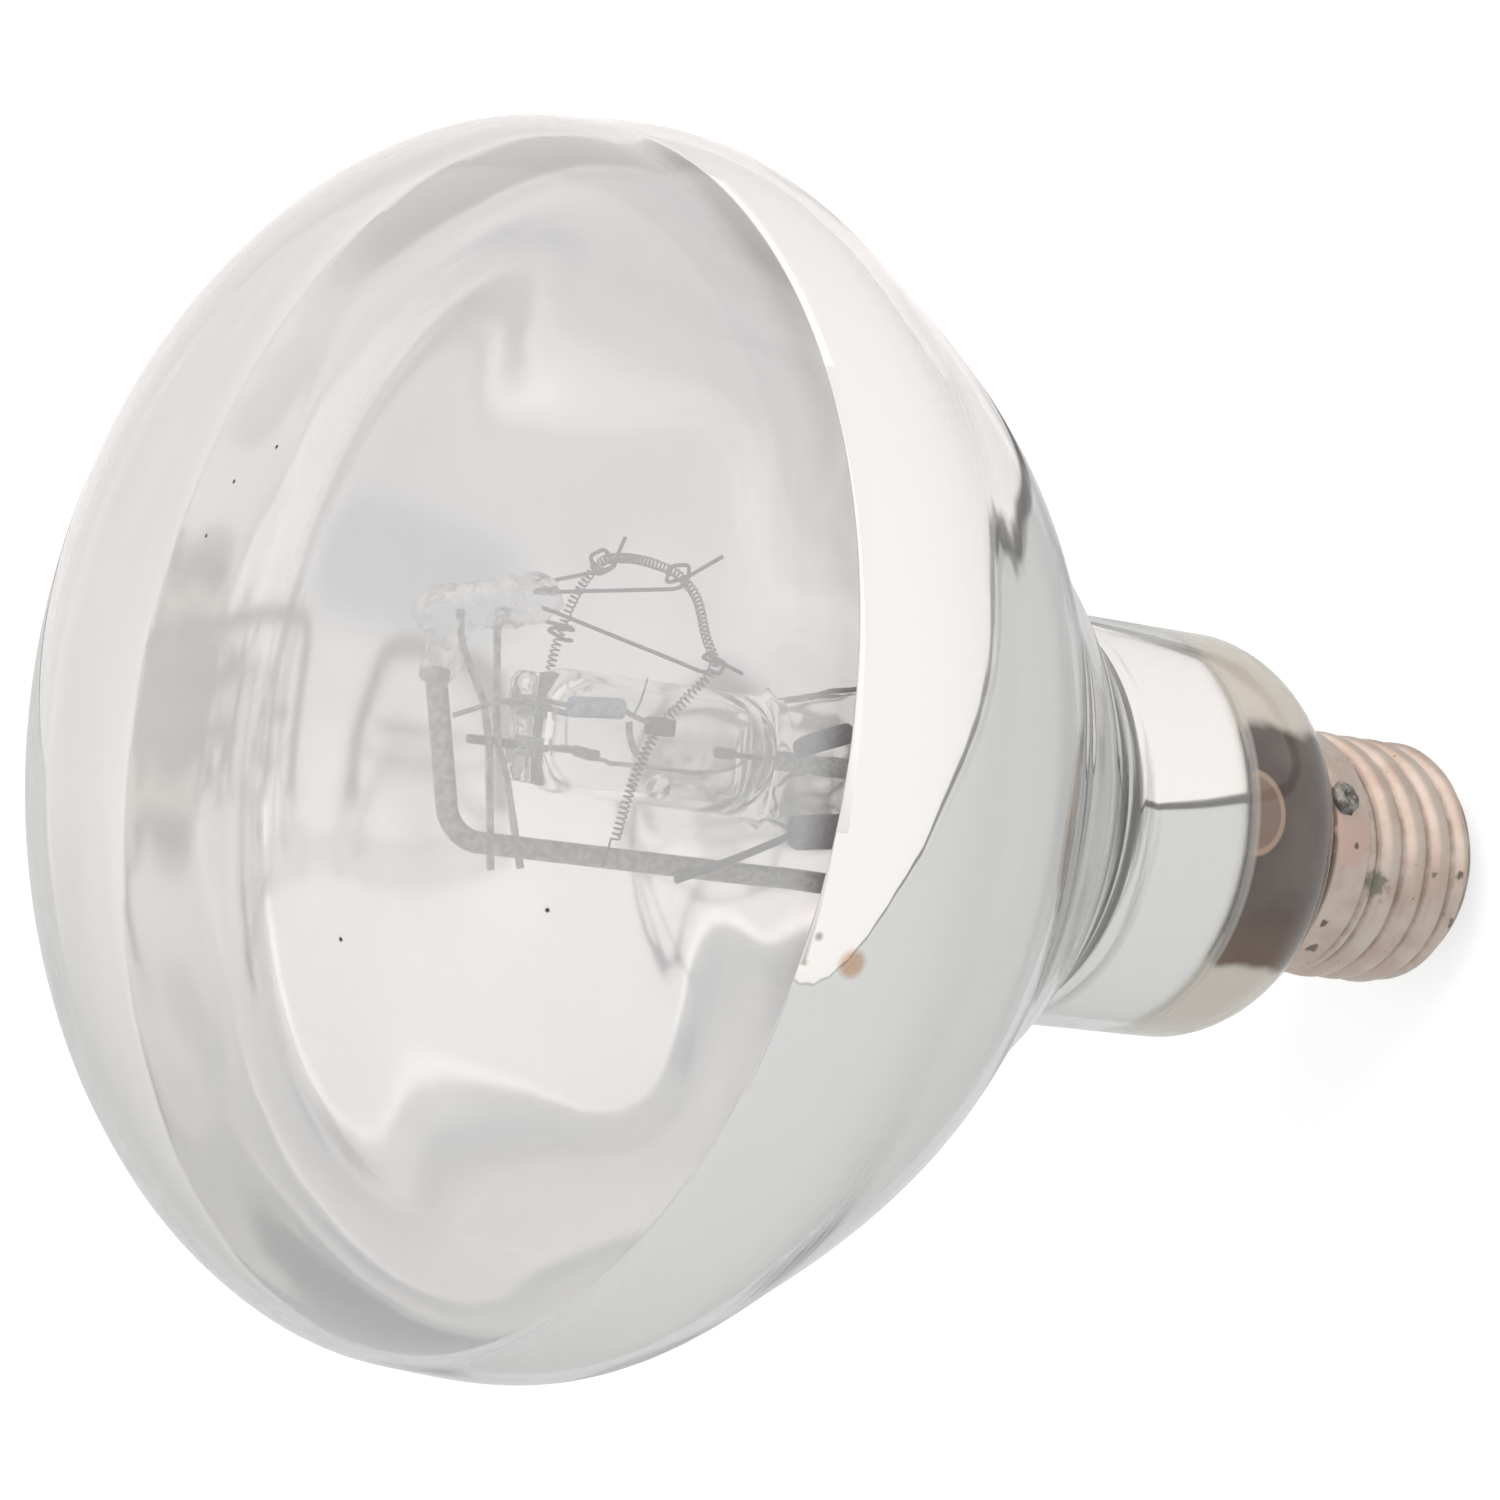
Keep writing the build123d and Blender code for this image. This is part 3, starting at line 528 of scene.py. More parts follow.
@dataclass(frozen=True)
class MirrorFilm(Finish):
    """Evaporated aluminium on glass: bright, with soft swells, painted reflections of dark streaks on its
    outside near the neck, and small painted reflection marks.
    """

    # painted reflection: the colour of the dark streaks near the neck
    reflection_streak: str
    bare_roughness: float
    swell: float
    # painted reflection bands: middle height, full reach, edge reach and strength
    reflection_bands: tuple[tuple[float, float, float, float], ...]
    # painted reflections: small marks, each a middle, a reach and a colour
    marks: tuple[tuple[Point, float, str], ...]
    # how the noise of the painted reflection streaks is scaled in bearing, across and in height
    drawn: Point = (0.55, 1.0, 420.0)

    def shader(self, tree: Tree) -> Node:
        """Builds the mirror's shader.

        Args:
            tree: the material's tree.

        Returns:
            Its Principled shader.
        """
        here = put(tree, "TexCoord").outputs["Object"]
        place = put(tree, "SeparateXYZ", {0: here}).outputs
        bearing = put(tree, "Math", {0: place[1], 1: place[0]}, operation="ARCTAN2")
        # painted reflection: dark streaks round the axis, in bands near the neck, on the outer side only
        rings = put(tree, "CombineXYZ", {0: bearing, 2: place[2]})
        rings = put(tree, "Mapping", {"Vector": rings, "Scale": self.drawn})
        reflection_streaks = put(tree, "TexNoise", {"Vector": rings, "Scale": 1.0, "Detail": 5.0})
        reflection_streaks = put(tree, "MapRange", {0: reflection_streaks, 1: 0.44, 2: 0.58}, interpolation_type=Fade.SOFT)
        facing = put(tree, "NewGeometry").outputs["True Normal"]
        radial = put(tree, "CombineXYZ", {0: place[0], 1: place[1]})
        outer = put(tree, "VectorMath", {0: facing, 1: radial}, operation="DOT_PRODUCT")
        outer = put(tree, "Math", {0: outer, 1: 0.0}, operation="GREATER_THAN")
        dark: Node | float = 0.0
        for middle, core, reach, most in self.reflection_bands:
            band = near(tree, place[2], middle, (core, reach), most, Fade.SOFT)
            band = put(tree, "Math", {0: reflection_streaks, 1: band}, operation="MULTIPLY")
            band = put(tree, "Math", {0: outer, 1: band}, operation="MULTIPLY")
            dark = put(tree, "Math", {0: dark, 1: band}, operation="MAXIMUM")
        colour = layered(tree, self.shade, (dark, self.reflection_streak))
        # painted reflections: small coloured marks on the film
        for spot, reach, shade in self.marks:
            share = near(tree, here, spot, (0.6 * reach, reach), 0.85, Fade.EVEN)
            colour = layered(tree, colour, (share, shade))
        swells = put(tree, "TexNoise", {"Vector": here, "Scale": 1 / (self.swell * MM), "Detail": 2.0})
        relief = put(tree, "Bump", {"Height": swells, "Strength": 0.3, "Distance": 0.8 * MM})
        matt, clean = self.bare_roughness, self.roughness
        gloss = put(tree, "MapRange", {0: outer, 3: matt, 4: clean})
        return put(
            tree, "BsdfPrincipled",
            {"Base Color": colour, "Roughness": gloss, "Metallic": 1.0, "Normal": relief},
        )


# Nickel-plated brass sheet, tumbled and handled: pinkish sheen, grey-brown in the valleys, and a painted
# shadow under the collar's rim
SHELL_SHEET = WornShell(
    "worn_nickel_on_brass", "#d3c6bb", 0.38, "#c8b4a7", 12.1, 26.2,
    (
        (Stain.BARE, (-3.4, -12.4, 18.8), 1.9),
        (Stain.GRIME, (-1.5, -13.1, 11.1), 0.8),
        (Stain.GRIME, (-1.3, -13.1, 7.4), 0.8),
        (Stain.GRIME, (-6.3, -11.6, 6.5), 0.7),
        (Stain.GRIME, (-10.5, -8.2, 23.3), 0.9),
        (Stain.GRIME, (-7.9, -10.7, 24.2), 0.6),
        (Stain.BLUSH, (1.2, -13.2, 23.0), 3.4),
        (Stain.GRIME, (0.4, -13.3, 22.9), 0.5),
    ),
)
# Clean soda-lime glass at its own index, with a few black specks on the face
BULB_GLASS = BulbGlass(
    "blown_bulb_glass", "#fdfdfc", 0.012, 0.98,
    specks=(
        (22.7, -12.3, 157.2), (19.6, -7.7, 158.5), (14.6, -5.7, 159.6), (-16.7, -44.7, 145.8),
        (-20.5, -26.3, 154.4),
    ),
)
# Metal boiled onto the glass: a clean mirror outside, more matt on its bare inner side, with painted
# reflections: dark streaky bands near the neck and three small coloured marks
MIRROR = MirrorFilm(
    "evaporated_aluminium", "#fafafa", 0.03, "#59524e", 0.09, 34.0,
    ((65.0, 4.0, 9.5, 1.0), (90.0, 1.5, 6.5, 0.6)),
    (
        ((-18.8, -56.0, 121.7), 1.6, "#d9ab86"),
        ((-16.8, -56.2, 125.6), 0.7, "#2b2824"),
        ((-19.1, -55.4, 126.2), 0.65, "#c9b25a"),
    ),
)
# Clear glasses: drawn quartz, a wrinkled bead that shows as pale as in air, and the lead stem
QUARTZ = Glass("fused_quartz", "#fbfbfa", 0.02, 0.97, 1.45, 0.01, 3.0)
BEAD_GLASS = Glass("fused_bead_glass", "#f2f2f1", 0.02, 0.96, 1.26, 0.4, 0.7)
STEM_GLASS = Glass("stem_lead_glass", "#eef0ea", 0.05, 0.9, 1.52, 0.01, 4.0)
# Solder set by hand: dull grey tin-lead with a grainy skin
SOLDER = Mottled("hand_set_solder", "#a3a19c", 0.42, "#6d6a66", 0.9, relief=0.1)
# Brass stamped thin and rubbed in sockets: yellow, with brown tarnish
CONTACT = Mottled("stamped_contact_brass", "#c2aa7c", 0.34, "#8a7350", 2.4)
# Bare wires and strips of the mount: nickel sandy from the furnace, tungsten nearly black
NICKEL = Mottled("annealed_nickel_wire", "#9a928b", 0.45, "#7a726b", 0.8)
STRAP = Mottled("thin_nickel_strip", "#b5b0aa", 0.4, "#928c86", 1.1)
TUNGSTEN = Mottled("drawn_tungsten_wire", "#3a3836", 0.5, "#242322", 0.3, 0.4, 0.01)
MOLYBDENUM = Mottled("molybdenum_foil", "#c4c4c4", 0.4, "#a3a3a5", 0.5)
# Fired, woven, cast and cemented pieces: matt, apart from the glossy black cap glass
RESISTOR = Mottled("blue_grey_ceramic", "#8f979f", 0.5, "#78808a", 0.5, 0.0)
SLEEVE = Mottled("dark_fibre_sleeve", "#574e58", 0.7, "#3c353e", 0.35, 0.0, 0.08)
VITRITE = Mottled("black_cap_glass", "#23201f", 0.2, "#171514", 3.0, 0.0)
CEMENT = Mottled("phenolic_capping_cement", "#b9a98d", 0.8, "#93836a", 0.7, 0.0, 0.12)


def flowing(points: list[Vector], first: Vector, last: Vector, steps: int) -> list[Vector]:
    """Runs one smooth line through points.

    Args:
        points: where it passes.
        first: its direction at the start.
        last: its direction at the end.
        steps: how many points each span gets.

    Returns:
        The points of the line, in order.
    """
    aims = [first.normalized()]
    for before, here, after in zip(points, points[1:], points[2:]):
        back, ahead = here - before, after - here
        aim = back.normalized() * ahead.length + ahead.normalized() * back.length
        aims.append(aim.normalized())
    aims.append(last.normalized())
    line: list[Vector] = []
    for start, end, leave, meet in zip(points, points[1:], aims, aims[1:]):
        reach = (end - start).length / 3
        line += interpolate_bezier(start, start + leave * reach, end - meet * reach, end, steps)[:-1]
    return line + [points[-1]]


def profile(line: list[Vector]) -> Mesh:
    """Makes a chain of edges.

    Args:
        line: the points of the chain.

    Returns:
        The bmesh that holds it.
    """
    shape = bmesh.new()
    spots = [shape.verts.new(spot) for spot in line]
    for start, end in zip(spots, spots[1:]):
        shape.edges.new((start, end))
    return shape


def cut(shape: Mesh, height: float, normal: Point, above: bool) -> None:
    """Cuts a shape by a plane and takes one side away.

    Args:
        shape: the shape.
        height: where the plane crosses the lamp's axis.
        normal: the plane's normal.
        above: whether the side above goes, or else the one below.
    """
    whole = shape.verts[:] + shape.edges[:] + shape.faces[:]
    bmesh.ops.bisect_plane(
        shape, geom=whole, plane_co=(0, 0, height), plane_no=normal, clear_outer=above, clear_inner=not above
    )


def face_outward(shape: Mesh) -> None:
    """Turns the faces of a round shape away from the lamp's axis.

    Args:
        shape: the shape.
    """
    bmesh.ops.recalc_face_normals(shape, faces=shape.faces[:])
    lean = sum(f.normal.xy.dot(f.calc_center_median().xy) for f in shape.faces)
    if lean < 0:
        bmesh.ops.reverse_faces(shape, faces=shape.faces[:])


def merge(shape: Mesh, part: Mesh) -> None:
    """Adds one bmesh to another.

    Args:
        shape: the one that grows.
        part: the one that is added and freed.
    """
    carried = bpy.data.meshes.new("part")
    part.to_mesh(carried)
    part.free()
    shape.from_mesh(carried)
    bpy.data.meshes.remove(carried)


def shown(name: str, content: bpy.types.ID) -> bpy.types.Object:
    """Brings a mesh, curve, camera or light into the scene.

    Args:
        name: the new object's name.
        content: what it holds.

    Returns:
        The object.
    """
    made = bpy.data.objects.new(name, content)
    bpy.context.scene.collection.objects.link(made)
    return made


def evaluated(holder: bpy.types.Object) -> Mesh:
    """Takes the final form of a working object.

    Args:
        holder: the object, which is removed.

    Returns:
        Its form as a bmesh.
    """
    bpy.context.view_layer.update()
    made = bpy.data.meshes.new_from_object(holder.evaluated_get(bpy.context.evaluated_depsgraph_get()))
    shape = bmesh.new()
    shape.from_mesh(made)
    bpy.data.objects.remove(holder)
    bpy.data.meshes.remove(made)
    return shape


def turned(shape: Mesh, steps: int) -> None:
    """Spins a chain of edges into a closed turned form with its normals outward.

    Args:
        shape: the bmesh that holds the chain in the XZ plane.
        steps: how many steps the full turn has.
    """
    bmesh.ops.spin(
        shape, geom=shape.verts[:] + shape.edges[:], cent=(0, 0, 0), axis=(0, 0, 1),
        angle=2 * pi, steps=steps, use_merge=True,
    )
    bmesh.ops.remove_doubles(shape, verts=shape.verts[:], dist=1e-4)
    face_outward(shape)


def settle(shape: Mesh, name: str, finish: Finish, stands_for: str) -> bpy.types.Object:
    """Brings a finished shape into the scene as a piece of the lamp.

    Args:
        shape: the shape, in millimetres; it is freed.
        name: the piece's name.
        finish: what it is made of.
        stands_for: the solid that it stands for.

    Returns:
        The piece's object.
    """
    bmesh.ops.scale(shape, vec=(MM, MM, MM), verts=shape.verts[:])
    mesh = bpy.data.meshes.new(name)
    shape.to_mesh(mesh)
    shape.free()
    for face in mesh.polygons:
        face.use_smooth = True
    piece = shown(name, mesh)
    mesh.materials.append(finish.material())
    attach(piece, "root")
    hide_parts(stands_for)
    log.info("%s: %d faces", name, len(mesh.polygons))
    return piece


def walled(piece: bpy.types.Object, thickness: float) -> None:
    """Gives a surface a wall that grows inward.

    Args:
        piece: the surface's object.
        thickness: the wall's thickness, in millimetres.
    """
    wall = piece.modifiers.new("wall", "SOLIDIFY")
    wall.thickness = thickness * MM
    wall.offset = -1.0
    wall.use_even_offset = True


def swept(name: str, line: list[Vector], radius: float, sides: int) -> Mesh:
    """Sweeps a round wire along a line.

    Args:
        name: a name for the working curve.
        line: the points it follows, in millimetres.
        radius: the wire's radius.
        sides: how many faces go round it.

    Returns:
        The wire's bmesh, with closed ends.
    """
    curve = bpy.data.curves.new(name, "CURVE")
    curve.dimensions = "3D"
    curve.bevel_depth = radius
    curve.bevel_resolution = max(0, sides // 2 - 2)
    curve.use_fill_caps = True
    run = curve.splines.new("POLY")
    run.points.add(len(line) - 1)
    for spot, place in zip(run.points, line):
        spot.co = (*place, 1.0)
    shape = evaluated(shown(name, curve))
    bpy.data.curves.remove(curve)
    bmesh.ops.remove_doubles(shape, verts=shape.verts[:], dist=1e-5)
    bmesh.ops.recalc_face_normals(shape, faces=shape.faces[:])
    return shape


def knead(shape: Mesh, grain: float, depth: float, seed: float) -> None:
    """Moves a shape's points in and out by smooth noise.

    Args:
        shape: the shape.
        grain: the size of the lumps, in millimetres.
        depth: how far a point moves at most.
        seed: where in the noise it starts.
    """
    shape.normal_update()
    shift = Vector((seed, seed * 1.7, seed * 0.6))
    for spot in shape.verts:
        spot.co += spot.normal * depth * noise.noise(spot.co / grain + shift)


@dataclass
class Bulb:
    """The blown bulb and the metal film inside its cone."""

    length: float = 161.0
    face_radius: float = 59.4
    face_depth: float = 34.8
    squareness: float = 1.106
    flank: tuple[Span, ...] = (
        (59.95, 115.9), (54.4, 103.0), (46.5, 90.1), (35.6, 78.5), (28.5, 69.5),
    )
    neck_radius: float = 21.3
    neck_top: float = 61.6
    throat_top: float = 33.6
    spigot_radius: float = 11.2
    spigot_top: float = 25.4
    spigot_bottom: float = 15.0
    cone_bend: float = 5.0
    throat_bend: float = 9.0
    wall: float = 1.2
    film_inset: float = 1.3
    film: float = 0.15
    edge_height: float = 128.0
    edge_normal: Point = (0.042, -0.039, 1.0)
    film_bottom: float = 44.3
    steps: int = 224

    def surface(self) -> Mesh:
        """Returns the bulb's outer surface, spun about its axis."""
        side = [Vector((0.0, 0.0, self.length))]
        for angle in (20, 40, 55, 68, 80, 90):
            drop = self.face_depth * (1 - cos(radians(angle)) ** self.squareness)
            side.append(Vector((self.face_radius * sin(radians(angle)), 0.0, self.length - drop)))
        side += [Vector((r, 0.0, z)) for r, z in self.flank]
        corner = Vector((self.neck_radius, 0.0, self.neck_top))
        line = flowing(side, Vector((1, 0, 0)), corner - side[-1], 9)
        corners = [
            corner,
            Vector((self.neck_radius, 0.0, self.throat_top)),
            Vector((self.spigot_radius, 0.0, self.spigot_top)),
        ]
        shape = profile(line + corners + [Vector((self.spigot_radius, 0.0, self.spigot_bottom))])
        for place, bend in zip(corners, (self.cone_bend, self.throat_bend, 0.6)):
            spot = min(shape.verts, key=lambda v: (v.co - place).length)
            before, after = ((e.other_vert(spot).co - spot.co).normalized() for e in spot.link_edges)
            half_turn = (pi - before.angle(after)) / 2
            bmesh.ops.bevel(
                shape, geom=[spot], offset=bend * sin(half_turn) / cos(half_turn), offset_type="OFFSET",
                segments=10, profile=0.5, affect="VERTICES", material=-1,
            )
        long_runs = [e for e in shape.edges if e.calc_length() > 3.0]
        bmesh.ops.subdivide_edges(shape, edges=long_runs, cuts=8)
        turned(shape, self.steps)
        return shape

    def build(self) -> None:
        """Builds the glass and the film."""
        glass = self.surface()
        walled(settle(glass, "bulb_glass", BULB_GLASS, "glass_envelope"), self.wall)
        film = self.surface()
        film.normal_update()
        for spot in film.verts:
            spot.co -= spot.normal * self.film_inset
        cut(film, self.edge_height, self.edge_normal, above=True)
        cut(film, self.film_bottom, (0, 0, 1), above=False)
        walled(settle(film, "mirror_film", MIRROR, "mirror_coating"), self.film)


@dataclass
class Cap:
    """The screw cap: collar, rolled thread and the solder of the side wire."""

    rim: float = 26.2
    collar_radius: float = 13.3
    collar_bottom: float = 20.8
    collar_step: float = 0.7
    sheet: float = 0.3
    pitch: float = 3.629
    crest: float = 13.2
    root: float = 12.1
    knuckle: float = 2.4
    thread_bottom: float = 5.2
    lip_radius: float = 9.0
    lip_height: float = 3.6
    run_out: float = 1.5
    steps: int = 144
    solder_angle: float = -66.5
    solder_height: float = 24.2
    solder_radius: float = 1.8
    dent: float = 0.16
    dent_grain: float = 6.0

    def thread(self) -> Mesh:
        """Returns the knuckle thread as one rolled surface, with faded ends."""
        top = self.collar_bottom - self.collar_step + 0.05
        start = self.thread_bottom - 2 * self.pitch
        depth = self.crest - self.root
        crown = [
            Vector((self.root + depth * (1 - abs(u) ** self.knuckle), 0.0, start + self.pitch * (u + 1) / 2))
            for u in [k / 8 for k in range(-8, 9)]
        ]
        turns = int((top - self.thread_bottom) / self.pitch) + 3
        shape = profile(crown)
        bmesh.ops.spin(
            shape, geom=shape.verts[:] + shape.edges[:], cent=(0, 0, 0), axis=(0, 0, 1),
            dvec=(0, 0, self.pitch / self.steps), angle=2 * pi * turns, steps=self.steps * turns,
        )
        bmesh.ops.remove_doubles(shape, verts=shape.verts[:], dist=0.01)
        cut(shape, top, (0, 0, 1), above=True)
        cut(shape, self.thread_bottom, (0, 0, 1), above=False)
        for spot in shape.verts:
            end = min(top - spot.co.z, spot.co.z - self.thread_bottom)
            share = max(0.0, min(1.0, end / self.run_out))
            share = share * share * (3 - 2 * share)
            radius = hypot(spot.co.x, spot.co.y)
            wanted = self.root + (radius - self.root) * share
            spot.co.x *= wanted / radius
            spot.co.y *= wanted / radius
        return shape

    def collar(self) -> Mesh:
        """Returns the collar above the thread and the lip below it."""
        top = self.collar_bottom - self.collar_step + 0.05
        upper = [
            (self.collar_radius - 0.12, self.rim),
            (self.collar_radius, self.rim - 0.25),
            (self.collar_radius, 23.5),
            (self.collar_radius, self.collar_bottom + 0.35),
            (self.collar_radius - 0.12, self.collar_bottom + 0.08),
            (self.collar_radius - 0.5, self.collar_bottom - 0.25),
            (self.root + 0.15, top + 0.1),
            (self.root, top),
        ]
        lower = [
            (self.root, self.thread_bottom),
            (self.root - 0.35, self.thread_bottom - 0.55),
            (self.lip_radius + 0.9, self.lip_height + 0.25),
            (self.lip_radius, self.lip_height),
        ]
        shape = bmesh.new()
        for side in (upper, lower):
            ring = profile([Vector((r, 0.0, z)) for r, z in side])
            turned(ring, self.steps)
            merge(shape, ring)
        return shape

    def build(self) -> None:
        """Builds the shell and the side solder."""
        shape = self.thread()
        merge(shape, self.collar())
        bmesh.ops.remove_doubles(shape, verts=shape.verts[:], dist=0.02)
        face_outward(shape)
        shape.normal_update()
        for spot in shape.verts:
            flat = Vector((spot.co.x, spot.co.y, 0)).normalized()
            wave = noise.noise(spot.co / self.dent_grain + Vector((3.1, 0.4, 7.7))) - 0.35
            spot.co += flat * self.dent * min(0.0, wave)
        walled(settle(shape, "rolled_shell", SHELL_SHEET, "screw_shell"), self.sheet)
        angle = radians(self.solder_angle)
        blob = bmesh.new()
        bmesh.ops.create_icosphere(blob, subdivisions=4, radius=self.solder_radius)
        for spot in blob.verts:
            out = spot.co.x / self.solder_radius
            across = hypot(spot.co.y, spot.co.z) / self.solder_radius
            if out > 0:
                spot.co.x *= 0.62 - 0.42 * max(0.0, 1 - across / 0.5)
        knead(blob, 0.7, 0.22, 2.2)
        knead(blob, 0.25, 0.07, 5.1)
        out = self.collar_radius - 0.1
        place = Matrix.Translation((cos(angle) * out, sin(angle) * out, self.solder_height))
        bmesh.ops.transform(blob, matrix=place @ Matrix.Rotation(angle, 4, "Z"), verts=blob.verts[:])
        settle(blob, "collar_solder", SOLDER, "side_solder")


@dataclass
class Ballast:
    """The coiled filament that goes round the arc tube."""

    coil_radius: float = 0.43
    strand: float = 0.1
    pitch: float = 0.54
    turn_steps: int = 12
    sway: float = 0.06
    route: tuple[Point, ...] = (
        (-7.9, -5.2, 111.7), (-3.9, -6.7, 111.8), (0.0, -7.65, 111.15), (3.1, -8.25, 109.9),
        (6.4, -9.2, 107.5), (9.45, -10.15, 105.65), (12.1, -8.4, 105.5), (17.0, -4.4, 104.9),
        (18.35, -2.5, 105.2), (19.5, 1.0, 105.8), (20.2, 7.0, 106.1), (20.05, 9.5, 105.95),
        (18.4, 11.5, 106.3), (15.3, 13.95, 106.5), (13.2, 14.9, 106.5), (11.2, 15.15, 106.9),
        (5.0, 14.8, 107.3), (-0.3, 13.0, 107.1),
    )
    tail: tuple[Point, ...] = ((-9.2, -4.5, 112.0), (-10.5, -4.05, 112.1))

    def build(self) -> None:
        """Winds the coil along its route and runs its bare tail to the rod."""
        spots = [Vector(p) for p in self.route]
        line = flowing(spots, spots[1] - spots[0], spots[-1] - spots[-2], 24)
        dense: list[Vector] = []
        step = self.pitch / self.turn_steps
        spare = 0.0
        for start, end in zip(line, line[1:]):
            run = (end - start).length
            while spare < run:
                dense.append(start.lerp(end, spare / run))
                spare += step
            spare -= run
        normal = (dense[1] - dense[0]).orthogonal().normalized()
        wound: list[Vector] = [Vector(p) for p in reversed(self.tail)]
        for count, (here, after) in enumerate(zip(dense, dense[1:])):
            along = (after - here).normalized()
            normal = (normal - along * normal.dot(along)).normalized()
            side = along.cross(normal)
            turn = 2 * pi * count / self.turn_steps
            radius = self.coil_radius * (1 + self.sway * noise.noise(here * 0.8))
            wound.append(here + (normal * cos(turn) + side * sin(turn)) * radius)
        coil = swept("coil", wound, self.strand, 6)
        settle(coil, "ballast_coil", TUNGSTEN, "filament")


@dataclass
class ArcTube:
    """The quartz arc tube with its two crumpled pinches."""

    axis: Span = (2.0, -1.0)
    radius: float = 6.0
    wall: float = 1.0
    body: Span = (94.0, 117.0)
    front: Span = (122.0, 10.6)
    rear: Span = (81.2, 15.5)
    pinch: float = 2.6
    rear_shoulder: tuple[Point, ...] = (
        (-2.0, 7.1, 1.9), (-1.2, 6.6, 3.3), (-0.5, 6.3, 4.6), (0.5, 6.08, 5.6),
    )
    front_shoulder: tuple[Point, ...] = (
        (-0.6, 6.0, 5.7), (0.4, 5.9, 4.6), (1.2, 5.6, 3.0), (2.0, 5.4, 1.8),
    )
    pinch_taper: float = 0.018
    crumples: tuple[Span, ...] = ((1.6, 0.3), (0.6, 0.12))
    tip_height: float = 107.7
    tip_bearing: float = -133.5
    sides: int = 64

    def stations(self) -> list[Point]:
        """Returns the height and the two half widths of each ring, from the rear up."""
        low, high = self.body
        flat = self.pinch / 2
        rear_height, rear_width = self.rear
        front_height, front_width = self.front
        rings = [(rear_height, rear_width / 2 - 0.5, flat * 0.8), (rear_height + 0.4, rear_width / 2, flat)]
        for rise in (2, 4, 6, 8, 9.5):
            rings.append((rear_height + rise, rear_width / 2 - self.pinch_taper * rise * rise, flat))
        rings += [(low + t, wide, deep) for t, wide, deep in self.rear_shoulder]
        rings += [(low + t, self.radius, self.radius) for t in (1.8, 6, 11, 16, 20)]
        rings += [(high + t, wide, deep) for t, wide, deep in self.front_shoulder]
        rings += [(z, front_width / 2, flat) for z in (high + 2.8, high + 3.8, front_height - 0.3)]
        rings += [(front_height, front_width / 2 - 0.4, flat * 0.7)]
        return rings

    def loft(self, rings: list[Point]) -> Mesh:
        """Returns a closed skin over oval rings.

        Args:
            rings: the height and the two half widths of each ring, from the rear up.

        Returns:
            The skin's bmesh, with its normals outward.
        """
        shape = bmesh.new()
        made = bmesh.ops.create_circle(shape, segments=self.sides, radius=1.0, cap_ends=True)
        face = shape.faces[:]
        height, wide, deep = rings[0]
        bmesh.ops.scale(shape, vec=(wide, deep, 1), verts=made["verts"])
        bmesh.ops.translate(shape, vec=(0, 0, height), verts=made["verts"])
        for (z0, w0, d0), (z1, w1, d1) in zip(rings, rings[1:]):
            out = bmesh.ops.extrude_face_region(shape, geom=face)
            top = [g for g in out["geom"] if isinstance(g, bmesh.types.BMVert)]
            face = [g for g in out["geom"] if isinstance(g, bmesh.types.BMFace)]
            bmesh.ops.translate(shape, vec=(0, 0, z1 - z0), verts=top)
            bmesh.ops.scale(shape, vec=(w1 / w0, d1 / d0, 1), verts=top)
        low, high = rings[0][0] + 0.2, rings[-1][0] - 0.2
        inner = [f for f in shape.faces if len(f.verts) > 4 and low < f.calc_center_median().z < high]
        bmesh.ops.delete(shape, geom=inner, context="FACES_ONLY")
        bmesh.ops.recalc_face_normals(shape, faces=shape.faces[:])
        shape.normal_update()
        return shape

    def hollow(self) -> Mesh:
        """Returns the skin of the arc chamber, with its normals turned into the glass."""
        low, high = self.body
        inside = self.radius - self.wall
        ends = ((-0.6, 1.6, 1.2), (-0.2, 3.2, 2.7), (0.8, inside * 0.92, inside * 0.9))
        rings = [(low + t, wide, deep) for t, wide, deep in ends]
        rings += [(low + t, inside, inside) for t in (2, 6, 11, 16, 20)]
        rings += [(high - t, wide, deep) for t, wide, deep in reversed(ends)]
        shape = self.loft(rings)
        bmesh.ops.reverse_faces(shape, faces=shape.faces[:])
        return shape

    def tip(self) -> Mesh:
        """Returns the sealed nub of the filling tube on the tube's side."""
        angle = radians(self.tip_bearing)
        shape = bmesh.new()
        bmesh.ops.create_uvsphere(shape, u_segments=24, v_segments=12, radius=1.25)
        bmesh.ops.scale(shape, vec=(1.25, 1.0, 1.0), verts=shape.verts[:])
        out = self.radius + 0.2
        place = Matrix.Translation((cos(angle) * out, sin(angle) * out, self.tip_height))
        bmesh.ops.transform(shape, matrix=place @ Matrix.Rotation(angle, 4, "Z"), verts=shape.verts[:])
        return shape

    def build(self) -> None:
        """Lofts the tube, crumples its pinches and adds its chamber and tip."""
        shape = self.loft(self.stations())
        low, high = self.body
        for spot in shape.verts:
            past = max(low - spot.co.z, spot.co.z - high, 0.0)
            if past > 0:
                swell = sum(noise.noise(spot.co / grain) * depth for grain, depth in self.crumples)
                spot.co += spot.normal * min(1.0, past / 2) * (swell - 0.1)
        for part in (self.hollow(), self.tip()):
            merge(shape, part)
        bmesh.ops.translate(shape, vec=(*self.axis, 0), verts=shape.verts[:])
        settle(shape, "quartz_tube", QUARTZ, "arc_tube")


